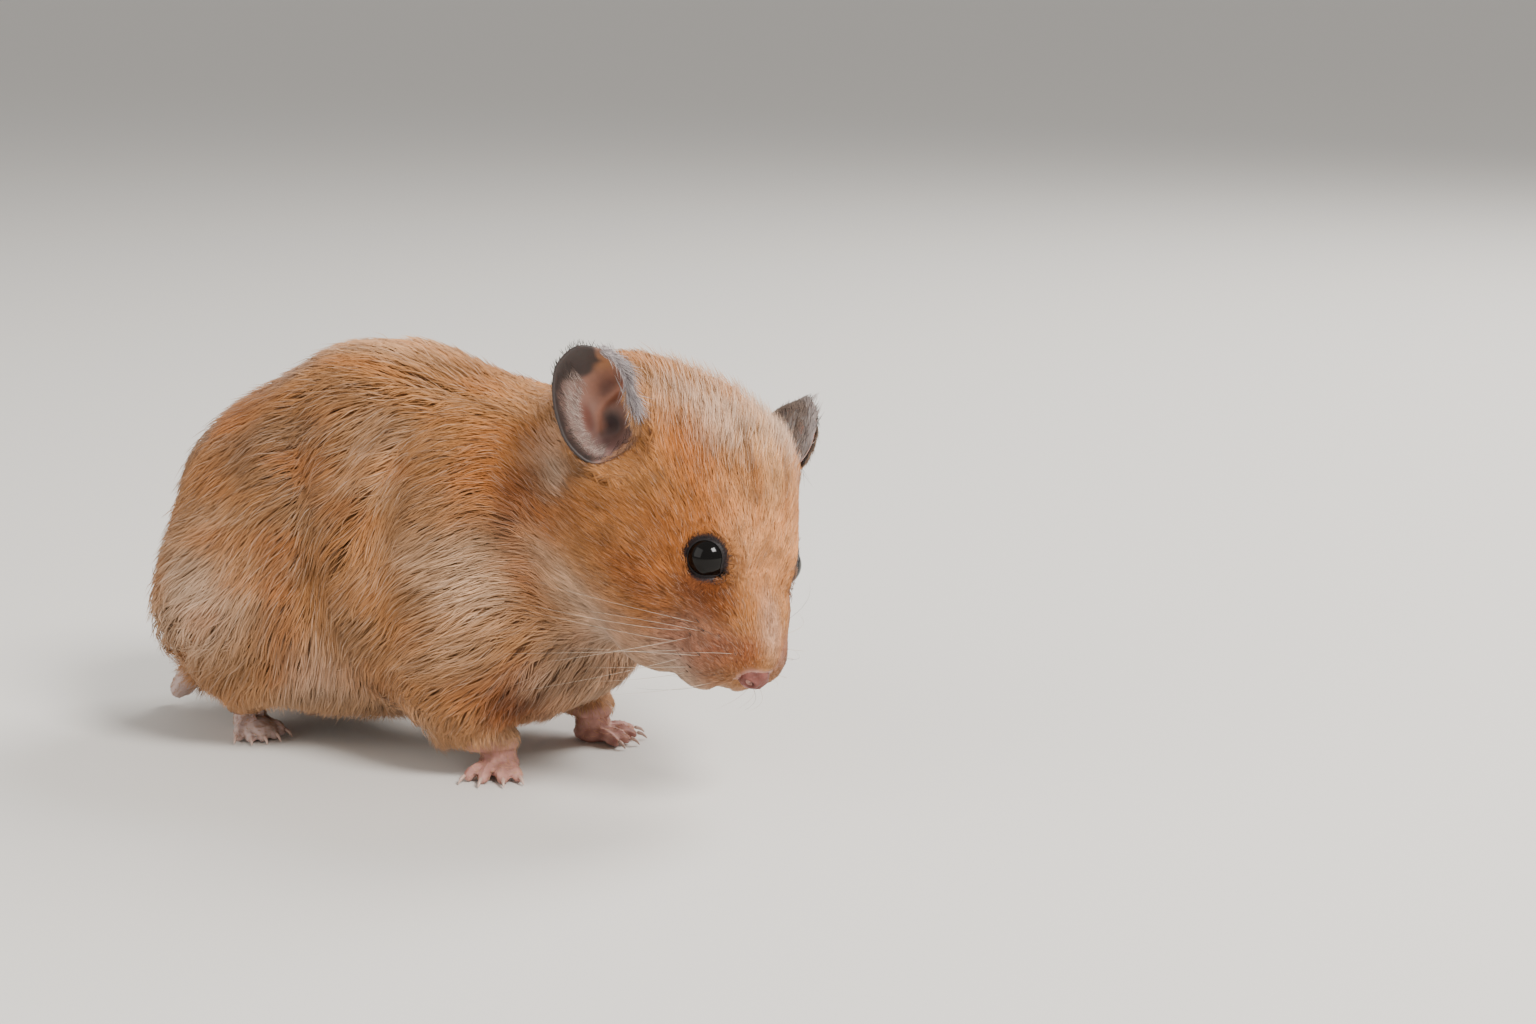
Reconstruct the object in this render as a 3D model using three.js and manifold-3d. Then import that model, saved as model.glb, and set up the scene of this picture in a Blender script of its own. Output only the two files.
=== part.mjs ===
// Syrian hamster, life size, standing on all fours with its head lowered and turned a little to its right.
//
// Units are millimetres. +X is the way the body faces, +Y its left and +Z up. The feet stand on z = 0, and
// the finished body is moved so that the origin is the middle of the bounding box's floor.
//
// The coat's outer surface is one smooth field, a blend of named masses. Each node is a closed patch of that
// surface, cut from its neighbours with a thin gap, and small forms such as toes and lids are joined on.
import * as THREE from "three";
import { mergeVertices } from "three/addons/utils/BufferGeometryUtils.js";
import Module from "manifold-3d";

const wasm = await Module();
wasm.setup();

const { sin, cos, abs, min, max, PI } = Math;
const vec = (x, y, z) => new THREE.Vector3(x, y, z);
const SIDES = { right: -1, left: 1 };

// ---------------------------------------------------------------- driving dimensions

const GAP = 0.3; // clearance between touching nodes

// Masses of the trunk: centre, half sizes and blend width with those before. A y above 2 is mirrored.
const TRUNK = {
  barrel: { at: [13.5, 0, 32], size: [34.5, 26, 28.5], blend: 0 },
  back: { at: [20.5, 0, 46.5], size: [24, 20, 22.3], blend: 12 },
  rump: { at: [-5.5, 0, 26], size: [17.5, 19, 15], blend: 9 },
  croup: { at: [-4.5, -1, 43], size: [15, 16.5, 13], blend: 6 },
  haunch: { at: [-0.5, 15.5, 23.5], size: [18, 12.5, 14.5], blend: 6 },
  shoulders: { at: [46, -1, 43], size: [20, 20, 19], blend: 10 },
  shoulder: { at: [41, 13, 23], size: [13, 10.5, 15], blend: 6 },
  elbow: { at: [37.5, 13, 13.5], size: [10, 8.5, 8], blend: 6 },
  chest: { at: [52.5, -1, 25], size: [14, 15, 16], blend: 8 },
  neck: { at: [66, -3.5, 48.6], size: [15, 16, 21.7], blend: 8 },
};

// Where the head sits and how it is turned, in degrees: yaw to the right, nose down, left ear lowest.
const HEAD = { at: [81.7, -6.1, 39.5], yaw: -30.2, pitch: 39, roll: -17.4 };

// Masses of the head, in its own frame: +X to the nose, +Y left, +Z crown.
const SKULL = {
  cranium: { at: [-7, 0, 3.2], size: [16.6, 14.2, 13.2], blend: 8 },
  crown: { at: [-11, 0, 7], size: [13, 12.5, 12.2], blend: 6 },
  cheek: { at: [-4, 9, -5.5], size: [14.5, 9.8, 11], blend: 5 },
  jowl: { at: [5, 6, -11.8], size: [8.6, 6.2, 7], blend: 4 },
  earBase: { at: [-12, 13.5, 5.5], size: [7, 6, 7], blend: 5 },
  snout: { at: [10.5, 0, -2.8], size: [12, 7.2, 7.4], blend: 4 },
  brow: { at: [4.6, 5.6, 7.4], size: [5, 3, 2.6], blend: 3 },
  zygoma: { at: [9, 4, 0.3], size: [7, 4.6, 4.6], blend: 3 },
  whiskerPad: { at: [15.6, 4.6, -5.4], size: [5.4, 4.6, 5.2], blend: 2 },
  lip: { at: [13.6, 3.6, -9.8], size: [5.8, 4, 3.9], blend: 1.6 },
  chin: { at: [11.4, 0, -12.8], size: [5.4, 4.4, 3.6], blend: 1 },
};

const EYE = { at: [5.9, 7.9, 4.3], radius: 3.3, look: [0.45, 0.85, 0.28], lid: 0.75 };
const NOSE = { at: [20.9, 0, -4.6], size: [2.3, 2.6, 2.2], nostril: 0.55 };
const MOUTH = {
  inside: [9, 0, -6], // the lines below are seen from here, on the coat
  lips: [[10.4, 6.4, -11.4], [14.5, 4.6, -11.9], [17.4, 2.2, -11.4], [18.6, 0, -10.8]],
  philtrum: [[21.8, 0, -7.5], [20.6, 0, -9.1], [18.8, 0, -10.8]],
  groove: 0.5,
};

const EAR = {
  root: { right: [-16, 18, 7.3], left: [-14.1, 17.3, 8.6] }, // mouth of the ear's canal, in the head's frame
  tip: { right: [-0.74, 0.44, 0.51], left: [-0.715, 0.626, 0.312] }, // direction from there to the ear's tip
  open: { right: [0.62, 0.63, 0.45], left: [0.65, 0.76, -0.02] }, // direction that its hollow faces
  // The rim, once round from below the canal: towards the brow, up to the tip and out of the hollow.
  rim: [
    [0.2, -3.6, 1.4], [-4.4, -3.6, 1.3], [-6.7, 0, 1.0], [-7.0, 4.2, 0.6],
    [-6.2, 8.4, 0.2], [-4.3, 11.8, -0.2], [-0.6, 13.3, -0.6], [3.1, 11.1, -0.4],
    [4.7, 8.0, 0.6], [4.5, 5.0, 1.8], [4.2, 1.6, 2.4], [3.2, -1.8, 2.2],
  ],
  curl: { turn: 0.74, span: 0.11, by: 1.8 }, // where the rim rolls in over the hollow
  canal: 1.2, // radius
  depth: 4.6,
  thick: 0.9, // at the canal, and half of that at the rim
  shares: [0, 0.18, 0.4, 0.65, 0.88, 1], // of the way from canal to rim, where its rings lie
  sectors: 22,
  wayIn: { rise: 6, flare: 2.1 }, // of the flesh that is cut from before the hollow
};

// Legs: places of knee or elbow, shank and ankle or wrist with the coat's radius at each, the way the paw
// points in degrees, and the cell of coat that belongs to the leg.
const LEGS = {
  fore: {
    right: { bones: [[41, -13, 14], [43, -12.4, 9], [45, -10.6, 4.5]], turn: -64 },
    left: { bones: [[42.5, 13, 14], [46.5, 13.2, 9], [49.2, 12.6, 4.5]], turn: 8 },
    radii: [8.3, 6.0, 3.5],
    cell: { at: [41, 17, 22], size: [14, 12, 15.5] },
  },
  hind: {
    right: { bones: [[0, -14, 14], [-4, -11.5, 8.5], [-6.2, -8.4, 4.6]], turn: -38 },
    left: { bones: [[-3, 14, 14], [-6.5, 13, 8.5], [-9, 12, 4.6]], turn: 22 },
    radii: [7.6, 5.0, 3.3],
    cell: { at: [-3, 21, 22], size: [23, 15, 19] },
  },
};

// Paws, pointing along +X: palm half sizes, toes from the inner to the outer side as [angle, length].
const PAWS = {
  fore: {
    palm: [3.6, 3.4, 2.0],
    heel: 0.2,
    toes: [[26, 3.7], [8, 4.5], [-12, 4.4], [-34, 3.5]],
    toe: 1.15,
    claw: 1.3,
  },
  hind: {
    palm: [6.6, 3.2, 2.1],
    heel: 2.6,
    toes: [[32, 2.8], [13, 4.1], [0, 4.5], [-13, 4.1], [-32, 2.8]],
    toe: 1.25,
    claw: 1.2,
  },
};

const TAIL = { places: [[-15, -0.5, 13], [-23, -0.8, 7.2], [-27, -1, 3.1]], radii: [4.4, 3.2, 1.9] };

// The line that the coat's rings are threaded on, from rump to nose, and the rings up to each place.
const SPINE = [
  { at: [-9, 0, 28], rings: 0 },
  { at: [10, 0, 33], rings: 4 },
  { at: [34, 0, 37], rings: 5 },
  { at: [52, -1.5, 38.5], rings: 4 },
  { at: [65, -4, 38.5], rings: 4 },
  { at: [76, -7, 35.5], rings: 7 },
  { at: [84.5, -10, 29], rings: 8 },
  { at: [88, -11.6, 25.5], rings: 3 },
];
const SECTORS = 40;
const CAP_RINGS = { rump: 7, nose: 6 };

// ---------------------------------------------------------------- the field

// A group that stands at a place and is turned by yaw, pitch and roll in degrees.
function frameAt(at, yaw = 0, pitch = 0, roll = 0) {
  const frame = new THREE.Group();
  frame.position.set(...at);
  frame.rotation.set(...[roll, pitch, yaw].map(THREE.MathUtils.degToRad), "ZYX");
  frame.updateMatrix();
  return frame;
}

// Distance to an ellipsoid, negative inside.
function ellipsoid(at, size) {
  const c = vec(...at);
  const r = vec(...size);
  const q = vec();
  return (p) => {
    q.subVectors(p, c).divide(r);
    const reach = q.length();
    return (reach * (reach - 1)) / max(q.divide(r).length(), 1e-6);
  };
}

const blendOf = (a, b, width) => {
  const h = max(width - abs(a - b), 0) / max(width, 1e-6);
  return min(a, b) - (h * h * width) / 4;
};

const headGroup = frameAt(HEAD.at, HEAD.yaw, HEAD.pitch, HEAD.roll);
const intoHead = headGroup.matrix.clone().invert();
const both = ([x, y, z]) => (y > 2 ? [[x, -y, z], [x, y, z]] : [[x, y, z]]);
const massesOf = (list) =>
  Object.values(list).flatMap(({ at, size, blend }) =>
    both(at).map((place) => ({ distance: ellipsoid(place, size), blend })),
  );
const blended = (masses) => (p) =>
  masses.reduce((d, mass) => blendOf(d, mass.distance(p), mass.blend), Infinity);

const local = vec();
const skullField = blended(massesOf(SKULL));
const headField = (p) => skullField(local.copy(p).applyMatrix4(intoHead));
const trunkField = blended(massesOf(TRUNK));
const coatField = (p) => blendOf(trunkField(p), headField(p), 9);

// ---------------------------------------------------------------- solids

// A closed geometry as a solid whose faces point out, whichever way round they came.
function solidFrom(geometry) {
  const bare = geometry.index ? geometry.toNonIndexed() : geometry.clone();
  bare.deleteAttribute("normal");
  bare.deleteAttribute("uv");
  const merged = mergeVertices(bare, 1e-4);
  const vertProperties = merged.attributes.position.array;
  const wound = (triVerts) => new wasm.Manifold(new wasm.Mesh({ numProp: 3, vertProperties, triVerts }));
  const solid = wound(new Uint32Array(merged.index.array));
  return solid.volume() > 0 ? solid : wound(new Uint32Array(merged.index.array).reverse());
}

// The largest closed body of a solid: a cut can leave loose scraps.
const wholeOf = (solid) => solid.decompose().reduce((a, b) => (b.volume() > a.volume() ? b : a));

function geometryFrom(solid) {
  const { vertProperties, triVerts, numProp } = wholeOf(solid).getMesh();
  const places = new Float32Array((vertProperties.length / numProp) * 3);
  for (let i = 0; i * numProp < vertProperties.length; i++) {
    places.set(vertProperties.subarray(i * numProp, i * numProp + 3), i * 3);
  }
  const geometry = new THREE.BufferGeometry()
    .setAttribute("position", new THREE.BufferAttribute(places, 3))
    .setIndex(new THREE.BufferAttribute(triVerts, 1));
  geometry.computeVertexNormals();
  return geometry;
}

// Where a ray from inside the coat comes out through a level of the field.
function surfacePoint(start, way, level) {
  const point = vec();
  const at = (r) => coatField(point.copy(start).addScaledVector(way, r)) - level;
  let [near, far] = [0, 0];
  while (at(far) < 0) [near, far] = [far, far + 0.7];
  for (let step = 0; step < 20; step++) {
    const middle = (near + far) / 2;
    if (at(middle) < 0) near = middle;
    else far = middle;
  }
  return point.copy(start).addScaledVector(way, far);
}

// Stations of the rings: a place, the frame there and the angle that its rays make with the way forward.
// At the two ends the rays fan out from one place.
function ringStations() {
  const line = new THREE.CatmullRomCurve3(SPINE.map(({ at }) => vec(...at)), false, "centripetal");
  const last = SPINE.length - 1;
  const stations = [];
  const stand = (t, polar) => {
    const forward = line.getTangent(t);
    const turn = THREE.MathUtils.smoothstep(t, 0.45, 0.8);
    const up = vec(0, 0, 1).lerp(vec(0, 0, 1).transformDirection(headGroup.matrix), turn);
    up.addScaledVector(forward, -up.dot(forward)).normalize();
    stations.push({ at: line.getPoint(t), forward, up, side: vec().crossVectors(up, forward), polar });
  };
  for (let i = 1; i < CAP_RINGS.rump; i++) stand(0, PI - (PI / 2) * (i / CAP_RINGS.rump));
  SPINE.slice(1).forEach(({ rings }, s) => {
    for (let i = 0; i < rings; i++) stand((s + i / rings) / last, PI / 2);
  });
  for (let i = 0; i < CAP_RINGS.nose; i++) stand(1, (PI / 2) * (1 - i / CAP_RINGS.nose));
  return stations;
}

// The whole coat as one closed surface, rings of points on the field's surface between a pole at each end.
function coatSolid(level = 0) {
  const stations = ringStations();
  const rings = stations.map(({ at, forward, up, side, polar }) =>
    Array.from({ length: SECTORS }, (_, j) => {
      const a = (2 * PI * j) / SECTORS;
      const way = vec()
        .addScaledVector(forward, cos(polar))
        .addScaledVector(up, sin(polar) * cos(a))
        .addScaledVector(side, sin(polar) * sin(a));
      return surfacePoint(at, way, level);
    }),
  );
  const [first, last] = [stations[0], stations.at(-1)];
  const tail = surfacePoint(first.at, first.forward.clone().negate(), level);
  return ringSolid(rings, [tail, surfacePoint(last.at, last.forward, level)]);
}

function ball(at, size, sectors = 16, rings = 12) {
  return solidFrom(new THREE.SphereGeometry(1, sectors, rings).scale(...size).translate(...at));
}

// A closed skin over rings of points, with a pole beyond the first ring and beyond the last.
function ringSolid(rings, poles) {
  const n = rings[0].length;
  const ring = (i, j) => 1 + i * n + (j % n);
  const last = 1 + rings.length * n;
  const faces = [];
  for (let j = 0; j < n; j++) {
    faces.push(0, ring(0, j + 1), ring(0, j));
    faces.push(ring(rings.length - 1, j), ring(rings.length - 1, j + 1), last);
    for (let i = 0; i + 1 < rings.length; i++) {
      faces.push(ring(i, j), ring(i, j + 1), ring(i + 1, j + 1));
      faces.push(ring(i, j), ring(i + 1, j + 1), ring(i + 1, j));
    }
  }
  const points = [poles[0], ...rings.flat(), poles[1]];
  return solidFrom(new THREE.BufferGeometry().setFromPoints(points).setIndex(faces));
}

// A round limb with domed ends along a smooth curve through a few places, with a radius at each place.
function limb(places, radii, sides = 7, steps = 4) {
  const line = new THREE.CatmullRomCurve3(places.map((p) => vec(...p)), false, "centripetal");
  const { tangents, normals, binormals } = line.computeFrenetFrames(steps);
  const radiusAt = (t) => {
    const k = min(Math.floor(t * (radii.length - 1)), radii.length - 2);
    return THREE.MathUtils.lerp(radii[k], radii[k + 1], t * (radii.length - 1) - k);
  };
  const ringAt = (i, along, share) => {
    const radius = radiusAt(i / steps);
    const middle = line.getPointAt(i / steps).addScaledVector(tangents[i], along * radius);
    return Array.from({ length: sides }, (_, j) => {
      const a = (2 * PI * j) / sides;
      return middle
        .clone()
        .addScaledVector(normals[i], radius * share * cos(a))
        .addScaledVector(binormals[i], radius * share * sin(a));
    });
  };
  const body = Array.from({ length: steps + 1 }, (_, i) => ringAt(i, 0, 1));
  const rings = [ringAt(0, -0.7, 0.7), ...body, ringAt(steps, 0.7, 0.7)];
  return ringSolid(rings, [ringAt(0, -1, 0)[0], ringAt(steps, 1, 0)[0]]);
}

const joined = (solids) => solids.reduce((a, b) => a.add(b));

// ---------------------------------------------------------------- the nodes

const COLOURS = {
  coat: { color: "#c98a55", roughness: 0.95 },
  skin: { color: "#d9a294", roughness: 0.7 },
  ear: { color: "#8c6f68", roughness: 0.8 },
  eye: { color: "#0b0a0a", roughness: 0.1 },
  claw: { color: "#e3cfc2", roughness: 0.5 },
};

function addNode(parent, name, solid, finish) {
  const material = new THREE.MeshStandardMaterial({ ...COLOURS[finish], metalness: 0 });
  const mesh = new THREE.Mesh(geometryFrom(solid), material);
  mesh.name = name;
  parent.add(mesh);
  return mesh;
}

// The plane that parts the neck from the trunk faces forward.
const collar = { normal: vec(1, -0.06, 0).normalize(), at: vec(52, -1, 42) };

// The head is what lies in this ball of its own frame, which reaches behind the ears and under the jaw.
const HEAD_CELL = { at: [-3, 0, 1], size: [30, 27, 26] };
const headCell = (grow = 0) => ball(HEAD_CELL.at, HEAD_CELL.size.map((s) => s + grow), 28, 18);

// What lies ahead of a plane, or behind it, half a gap away.
const ahead = (solid, { normal, at }) => solid.trimByPlane(normal.toArray(), normal.dot(at) + GAP / 2);
const behind = (solid, { normal, at }) =>
  solid.trimByPlane(normal.clone().negate().toArray(), -normal.dot(at) + GAP / 2);

const coat = coatSolid();

// ---- legs: each is the coat within a cell and the shank below it, down to a level cut above its paw

const ANKLE = { fore: 4.4, hind: 4.6 }; // height of that cut
const level = (height) => ({ normal: vec(0, 0, 1), at: vec(0, 0, height) });

function legCell(kind, side, grow = 0) {
  const { at, size } = LEGS[kind].cell;
  return ball([at[0], at[1] * SIDES[side], at[2]], size.map((s) => s + grow), 18, 11);
}

const shank = (kind, side, grow = 0) =>
  limb(LEGS[kind][side].bones, LEGS[kind].radii.map((r) => r + grow), 12, 4);

const leg = (kind, side) =>
  ahead(coat.intersect(legCell(kind, side)).add(shank(kind, side)), level(ANKLE[kind]));

// ---- paws

// A toe's knuckles in the paw's frame, the way that it points and the height of its claw.
function toeOf(kind, angle, length) {
  const { palm, toe } = PAWS[kind];
  const a = THREE.MathUtils.degToRad(angle);
  const root = [palm[0] * 0.55, palm[1] * 0.85 * sin(a * 1.6)];
  const along = (s, z) => [root[0] + length * s * cos(a), root[1] + length * s * sin(a), z];
  const places = [along(0, toe * 1.25), along(0.55, toe * 1.45), along(1, toe * 0.8)];
  return { places, way: [cos(a), sin(a)], tip: toe * 0.9 };
}

function pawGroup(kind, side) {
  const { bones, turn } = LEGS[kind][side];
  return frameAt([bones[2][0], bones[2][1], 0], turn);
}

const toesOf = (kind, side) =>
  PAWS[kind].toes.map(([angle, length]) => toeOf(kind, -angle * SIDES[side], length));

function pawSolid(kind, side, grow = 0) {
  const { palm, toe } = PAWS[kind];
  const fingers = toesOf(kind, side).map(({ places }) =>
    limb(places, [1, 0.95, 0.82].map((share) => toe * share + grow), 6, 3),
  );
  const sole = ball([PAWS[kind].heel, 0, palm[2] * 0.75], palm.map((s) => s + grow), 12, 8);
  const ankle = LEGS[kind].radii[2] * 0.86 + grow;
  const wrist = limb([[0, 0, palm[2]], [-0.3, 0, 8]], [ankle, ankle], 9, 1);
  return joined([sole, wrist, ...fingers]);
}

const pawSpace = (kind, side, grow) =>
  pawSolid(kind, side, grow).transform(pawGroup(kind, side).matrix.elements);
const footing = (paw, kind) => behind(paw, level(ANKLE[kind])).trimByPlane([0, 0, 1], 0);

function clawSolid(kind, { places, way, tip }) {
  const { claw, toe } = PAWS[kind];
  const [from, to] = [places.at(-1), way];
  const along = (s, z) => [from[0] + to[0] * s, from[1] + to[1] * s, z];
  const start = toe * 0.82 + GAP;
  const shape = [along(start, tip + 0.15), along(start + claw * 0.5, tip), along(start + claw, 0.35)];
  return limb(shape, [0.42, 0.34, 0.14], 5, 2);
}

// ---- head

const eyeCentre = (side) => [EYE.at[0], EYE.at[1] * SIDES[side], EYE.at[2]];
const eyeLook = (side) => vec(EYE.look[0], EYE.look[1] * SIDES[side], EYE.look[2]).normalize();
const eyeBall = (at, grow = 0) => ball(at, Array(3).fill(EYE.radius + grow), 16, 10);
const eyeSocket = (side) => eyeBall(eyeCentre(side), GAP);

function lidRing(side) {
  const ring = new THREE.TorusGeometry(EYE.radius * 0.94, EYE.lid, 6, 18);
  ring.scale(1, 0.94, 0.8);
  ring.applyQuaternion(new THREE.Quaternion().setFromUnitVectors(vec(0, 0, 1), eyeLook(side)));
  const at = vec(...eyeCentre(side)).addScaledVector(eyeLook(side), EYE.radius * 0.42);
  return solidFrom(ring.translate(...at.toArray()));
}

// A groove along the coat, through the places in the head's frame that a ray to each comes out at.
function groove(places) {
  const inside = vec(...MOUTH.inside).applyMatrix4(headGroup.matrix);
  const onCoat = places.map((place) => {
    const way = vec(...place).applyMatrix4(headGroup.matrix).sub(inside).normalize();
    return surfacePoint(inside, way, 0).applyMatrix4(intoHead).toArray();
  });
  return limb(onCoat, onCoat.map(() => MOUTH.groove), 5, (places.length - 1) * 2);
}

function mouthLines() {
  const left = MOUTH.lips.slice(0, -1);
  const right = left.map(([x, y, z]) => [x, -y, z]);
  return groove([...right, MOUTH.lips.at(-1), ...left.reverse()]).add(groove(MOUTH.philtrum));
}

const noseCell = (grow) => ball(NOSE.at, NOSE.size.map((s) => s + grow), 12, 9);

function headSolid() {
  const sides = Object.keys(SIDES);
  const added = joined(sides.map(lidRing));
  const cut = joined([...sides.map(eyeSocket), ...sides.map(earSpace), mouthLines(), noseCell(GAP)]);
  return coat.transform(intoHead.elements).intersect(headCell()).add(added).subtract(cut);
}

function noseSolid() {
  const nostrils = Object.values(SIDES).map((s) =>
    ball([NOSE.at[0] + NOSE.size[0] * 0.8, s * 1.15, NOSE.at[2] - 0.1], [0.9, NOSE.nostril, 0.42], 8, 6),
  );
  return noseCell(0).subtract(joined(nostrils));
}

// The frame of an ear: towards the brow, up to its tip and out of its hollow.
function earFrame(side) {
  const mirror = ([x, y, z]) => vec(x, y * SIDES[side], z);
  const tip = mirror(EAR.tip[side]).normalize();
  const open = mirror(EAR.open[side]);
  open.addScaledVector(tip, -open.dot(tip)).normalize();
  const brow = vec().crossVectors(tip, open).multiplyScalar(-SIDES[side]);
  return new THREE.Matrix4().makeBasis(brow, tip, open).setPosition(mirror(EAR.root[side]));
}

const earRim = new THREE.CatmullRomCurve3(EAR.rim.map((p) => vec(...p)), true, "centripetal");

// A place inside the hollow: turn goes once round it, and share from the canal's floor to the rim.
function hollowPlace(turn, share) {
  const { curl, canal, depth } = EAR;
  const rim = earRim.getPoint(turn);
  const spoke = vec(rim.x, rim.y, 0);
  const roll = curl.by * Math.exp(-(((turn - curl.turn) / curl.span) ** 2)) * sin(PI * share) ** 2;
  const reach = THREE.MathUtils.lerp(canal, spoke.length(), share) + roll;
  return spoke.setLength(reach).setZ(rim.z - (rim.z + depth) * max(1 - share ** 2, 0) ** 1.2);
}

// The same place moved through the ear's wall.
function wallPlace(turn, share, out) {
  const step = 0.01;
  const along = hollowPlace(turn, share + step).sub(hollowPlace(turn, share - step));
  const around = hollowPlace(turn + step, share).sub(hollowPlace(turn - step, share));
  const inward = along.cross(around).normalize();
  if (inward.z < 0) inward.negate();
  return hollowPlace(turn, share).addScaledVector(inward, -out);
}

// An ear: a thin funnel from the rim down to the canal, closed below.
function earSolid(side, grow = 0) {
  const { shares, sectors, thick, depth } = EAR;
  const ring = (share, out) =>
    Array.from({ length: sectors }, (_, i) => wallPlace(i / sectors, share, out));
  const inner = shares.map((share) => ring(share, -grow));
  const outer = shares.map((share) => ring(share, thick * (1 - share / 2) + grow)).reverse();
  const poles = [vec(0, 0, -depth), vec(0, 0, -depth - thick - grow)];
  return ringSolid([...inner, ...outer], poles).transform(earFrame(side).elements);
}

// What is cut from the flesh for an ear: its own space, and a cone that opens out from its rim.
function earSpace(side) {
  const { rise, flare } = EAR.wayIn;
  const rim = Array.from({ length: EAR.sectors }, (_, i) => hollowPlace(i / EAR.sectors, 1));
  const wide = rim.map((p) => vec(p.x * flare, p.y * flare, p.z + rise));
  const cone = ringSolid([rim, wide], [vec(0, 0, 0), vec(0, 0, rise + 2)]).hull();
  return earSolid(side, GAP).hull().add(cone.transform(earFrame(side).elements));
}

// ---- assembly

const legKinds = Object.keys(LEGS).flatMap((kind) => Object.keys(SIDES).map((side) => [kind, side]));
const tail = (grow) => limb(TAIL.places, TAIL.radii.map((r) => r + grow), 10, 5);
const legSpace = joined(
  legKinds.flatMap(([kind, side]) => [legCell, shank, pawSpace].map((part) => part(kind, side, GAP))),
);
const headSpace = headCell(GAP).transform(headGroup.matrix.elements);
const earsSpace = joined(Object.keys(SIDES).map(earSpace)).transform(headGroup.matrix.elements);
const trunk = coat.subtract(legSpace.add(tail(GAP))).subtract(headSpace.add(earsSpace));

const body = new THREE.Group();
addNode(body, "torso", behind(trunk, collar), "coat");
addNode(body, "neck", ahead(trunk, collar), "coat");
addNode(body, "tail", tail(0), "skin");

body.add(headGroup);
addNode(headGroup, "head", headSolid(), "coat");
addNode(headGroup, "nose", noseSolid(), "skin");
for (const side of Object.keys(SIDES)) {
  addNode(headGroup, `eye_${side}`, eyeBall([0, 0, 0]), "eye").position.set(...eyeCentre(side));
  addNode(headGroup, `ear_${side}`, earSolid(side), "ear");
}

for (const [kind, side] of legKinds) {
  addNode(body, `${kind}_leg_${side}`, leg(kind, side), "coat");
  const paw = pawGroup(kind, side);
  body.add(paw);
  addNode(paw, `${kind}_paw_${side}`, footing(pawSolid(kind, side), kind), "skin");
  toesOf(kind, side).forEach((toe, i) => {
    addNode(paw, `${kind}_claw_${side}_${i + 1}`, clawSolid(kind, toe), "claw");
  });
}

// The origin goes to the middle of the bounding box's floor.
const group = new THREE.Group();
group.add(body);
const box = new THREE.Box3().setFromObject(group, true);
const middle = box.getCenter(vec());
body.position.set(-middle.x, -middle.y, -box.min.z);

export default group;
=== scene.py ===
"""Looks of a life-size Syrian hamster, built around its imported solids.

Lengths are in millimetres until a mesh is made. Two frames are used beside the row's own: the body's, where
the numbers of the solids' source hold, and the head's, with +X to the nose, +Y left and +Z to the crown.
"""
import math

import bmesh
import bpy
import numpy as np
from mathutils import Matrix, Vector
from mathutils.bvhtree import BVHTree
from mathutils.kdtree import KDTree


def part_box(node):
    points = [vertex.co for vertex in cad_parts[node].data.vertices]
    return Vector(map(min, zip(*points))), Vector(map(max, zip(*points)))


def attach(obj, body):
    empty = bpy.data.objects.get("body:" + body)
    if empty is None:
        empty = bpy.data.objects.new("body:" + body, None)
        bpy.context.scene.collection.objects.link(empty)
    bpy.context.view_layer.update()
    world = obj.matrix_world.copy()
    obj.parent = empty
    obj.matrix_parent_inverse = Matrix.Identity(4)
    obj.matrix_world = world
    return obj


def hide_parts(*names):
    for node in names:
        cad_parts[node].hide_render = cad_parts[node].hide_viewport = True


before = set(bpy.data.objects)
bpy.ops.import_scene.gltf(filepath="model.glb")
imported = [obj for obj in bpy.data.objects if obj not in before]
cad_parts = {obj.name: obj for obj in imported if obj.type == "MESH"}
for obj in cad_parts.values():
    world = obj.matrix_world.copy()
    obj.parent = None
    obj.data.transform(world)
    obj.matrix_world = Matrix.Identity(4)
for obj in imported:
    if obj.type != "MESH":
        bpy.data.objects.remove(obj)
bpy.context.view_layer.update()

MM = 0.001
SEED = 7
SIDES = {"right": -1, "left": 1}
LEGS = [(kind, side) for kind in ("fore", "hind") for side in SIDES]

# ---------------------------------------------------------------- the frames

HEAD_AT = np.array([81.7, -6.1, 39.5])  # in the body's frame
HEAD_TURN = {"Z": -30.2, "Y": 39.0, "X": -17.4}  # degrees, the last of them first
EYE_AT = np.array([5.9, 7.9, 4.3])  # the left eye, in the head's frame
EYE_RADIUS = 3.3
EYE_LOOK = np.array([0.45, 0.85, 0.28])
NOSE_AT = np.array([20.9, 0, -4.6])
MOUTH = [(10.4, 6.4, -11.4), (14.5, 4.6, -11.9), (17.4, 2.2, -11.4), (18.6, 0, -10.8)]


def node_middle(name):
    """The middle of a node's box, in the row's frame."""
    low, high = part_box(name)
    return (np.array(low) + np.array(high)) / 2 / MM


def head_axes():
    turn = Matrix.Identity(3)
    for axis, degrees in HEAD_TURN.items():
        turn = turn @ Matrix.Rotation(math.radians(degrees), 3, axis)
    return np.array(turn)


HEAD_AXES = head_axes()
# How far the body's frame is from the row's, worked out from where the right eye is.
SHIFT = node_middle("eye_right") - HEAD_AXES @ (EYE_AT * (1, -1, 1)) - HEAD_AT


def from_head(points):
    """Places of the head's frame, in the body's."""
    return np.asarray(points, float) @ HEAD_AXES.T + HEAD_AT


def into_head(points):
    return (points - HEAD_AT) @ HEAD_AXES


def mirrored(place, side):
    return np.array(place, float) * (1, SIDES[side], 1)


def eye_look(side):
    return HEAD_AXES @ unit(mirrored(EYE_LOOK, side))


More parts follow.
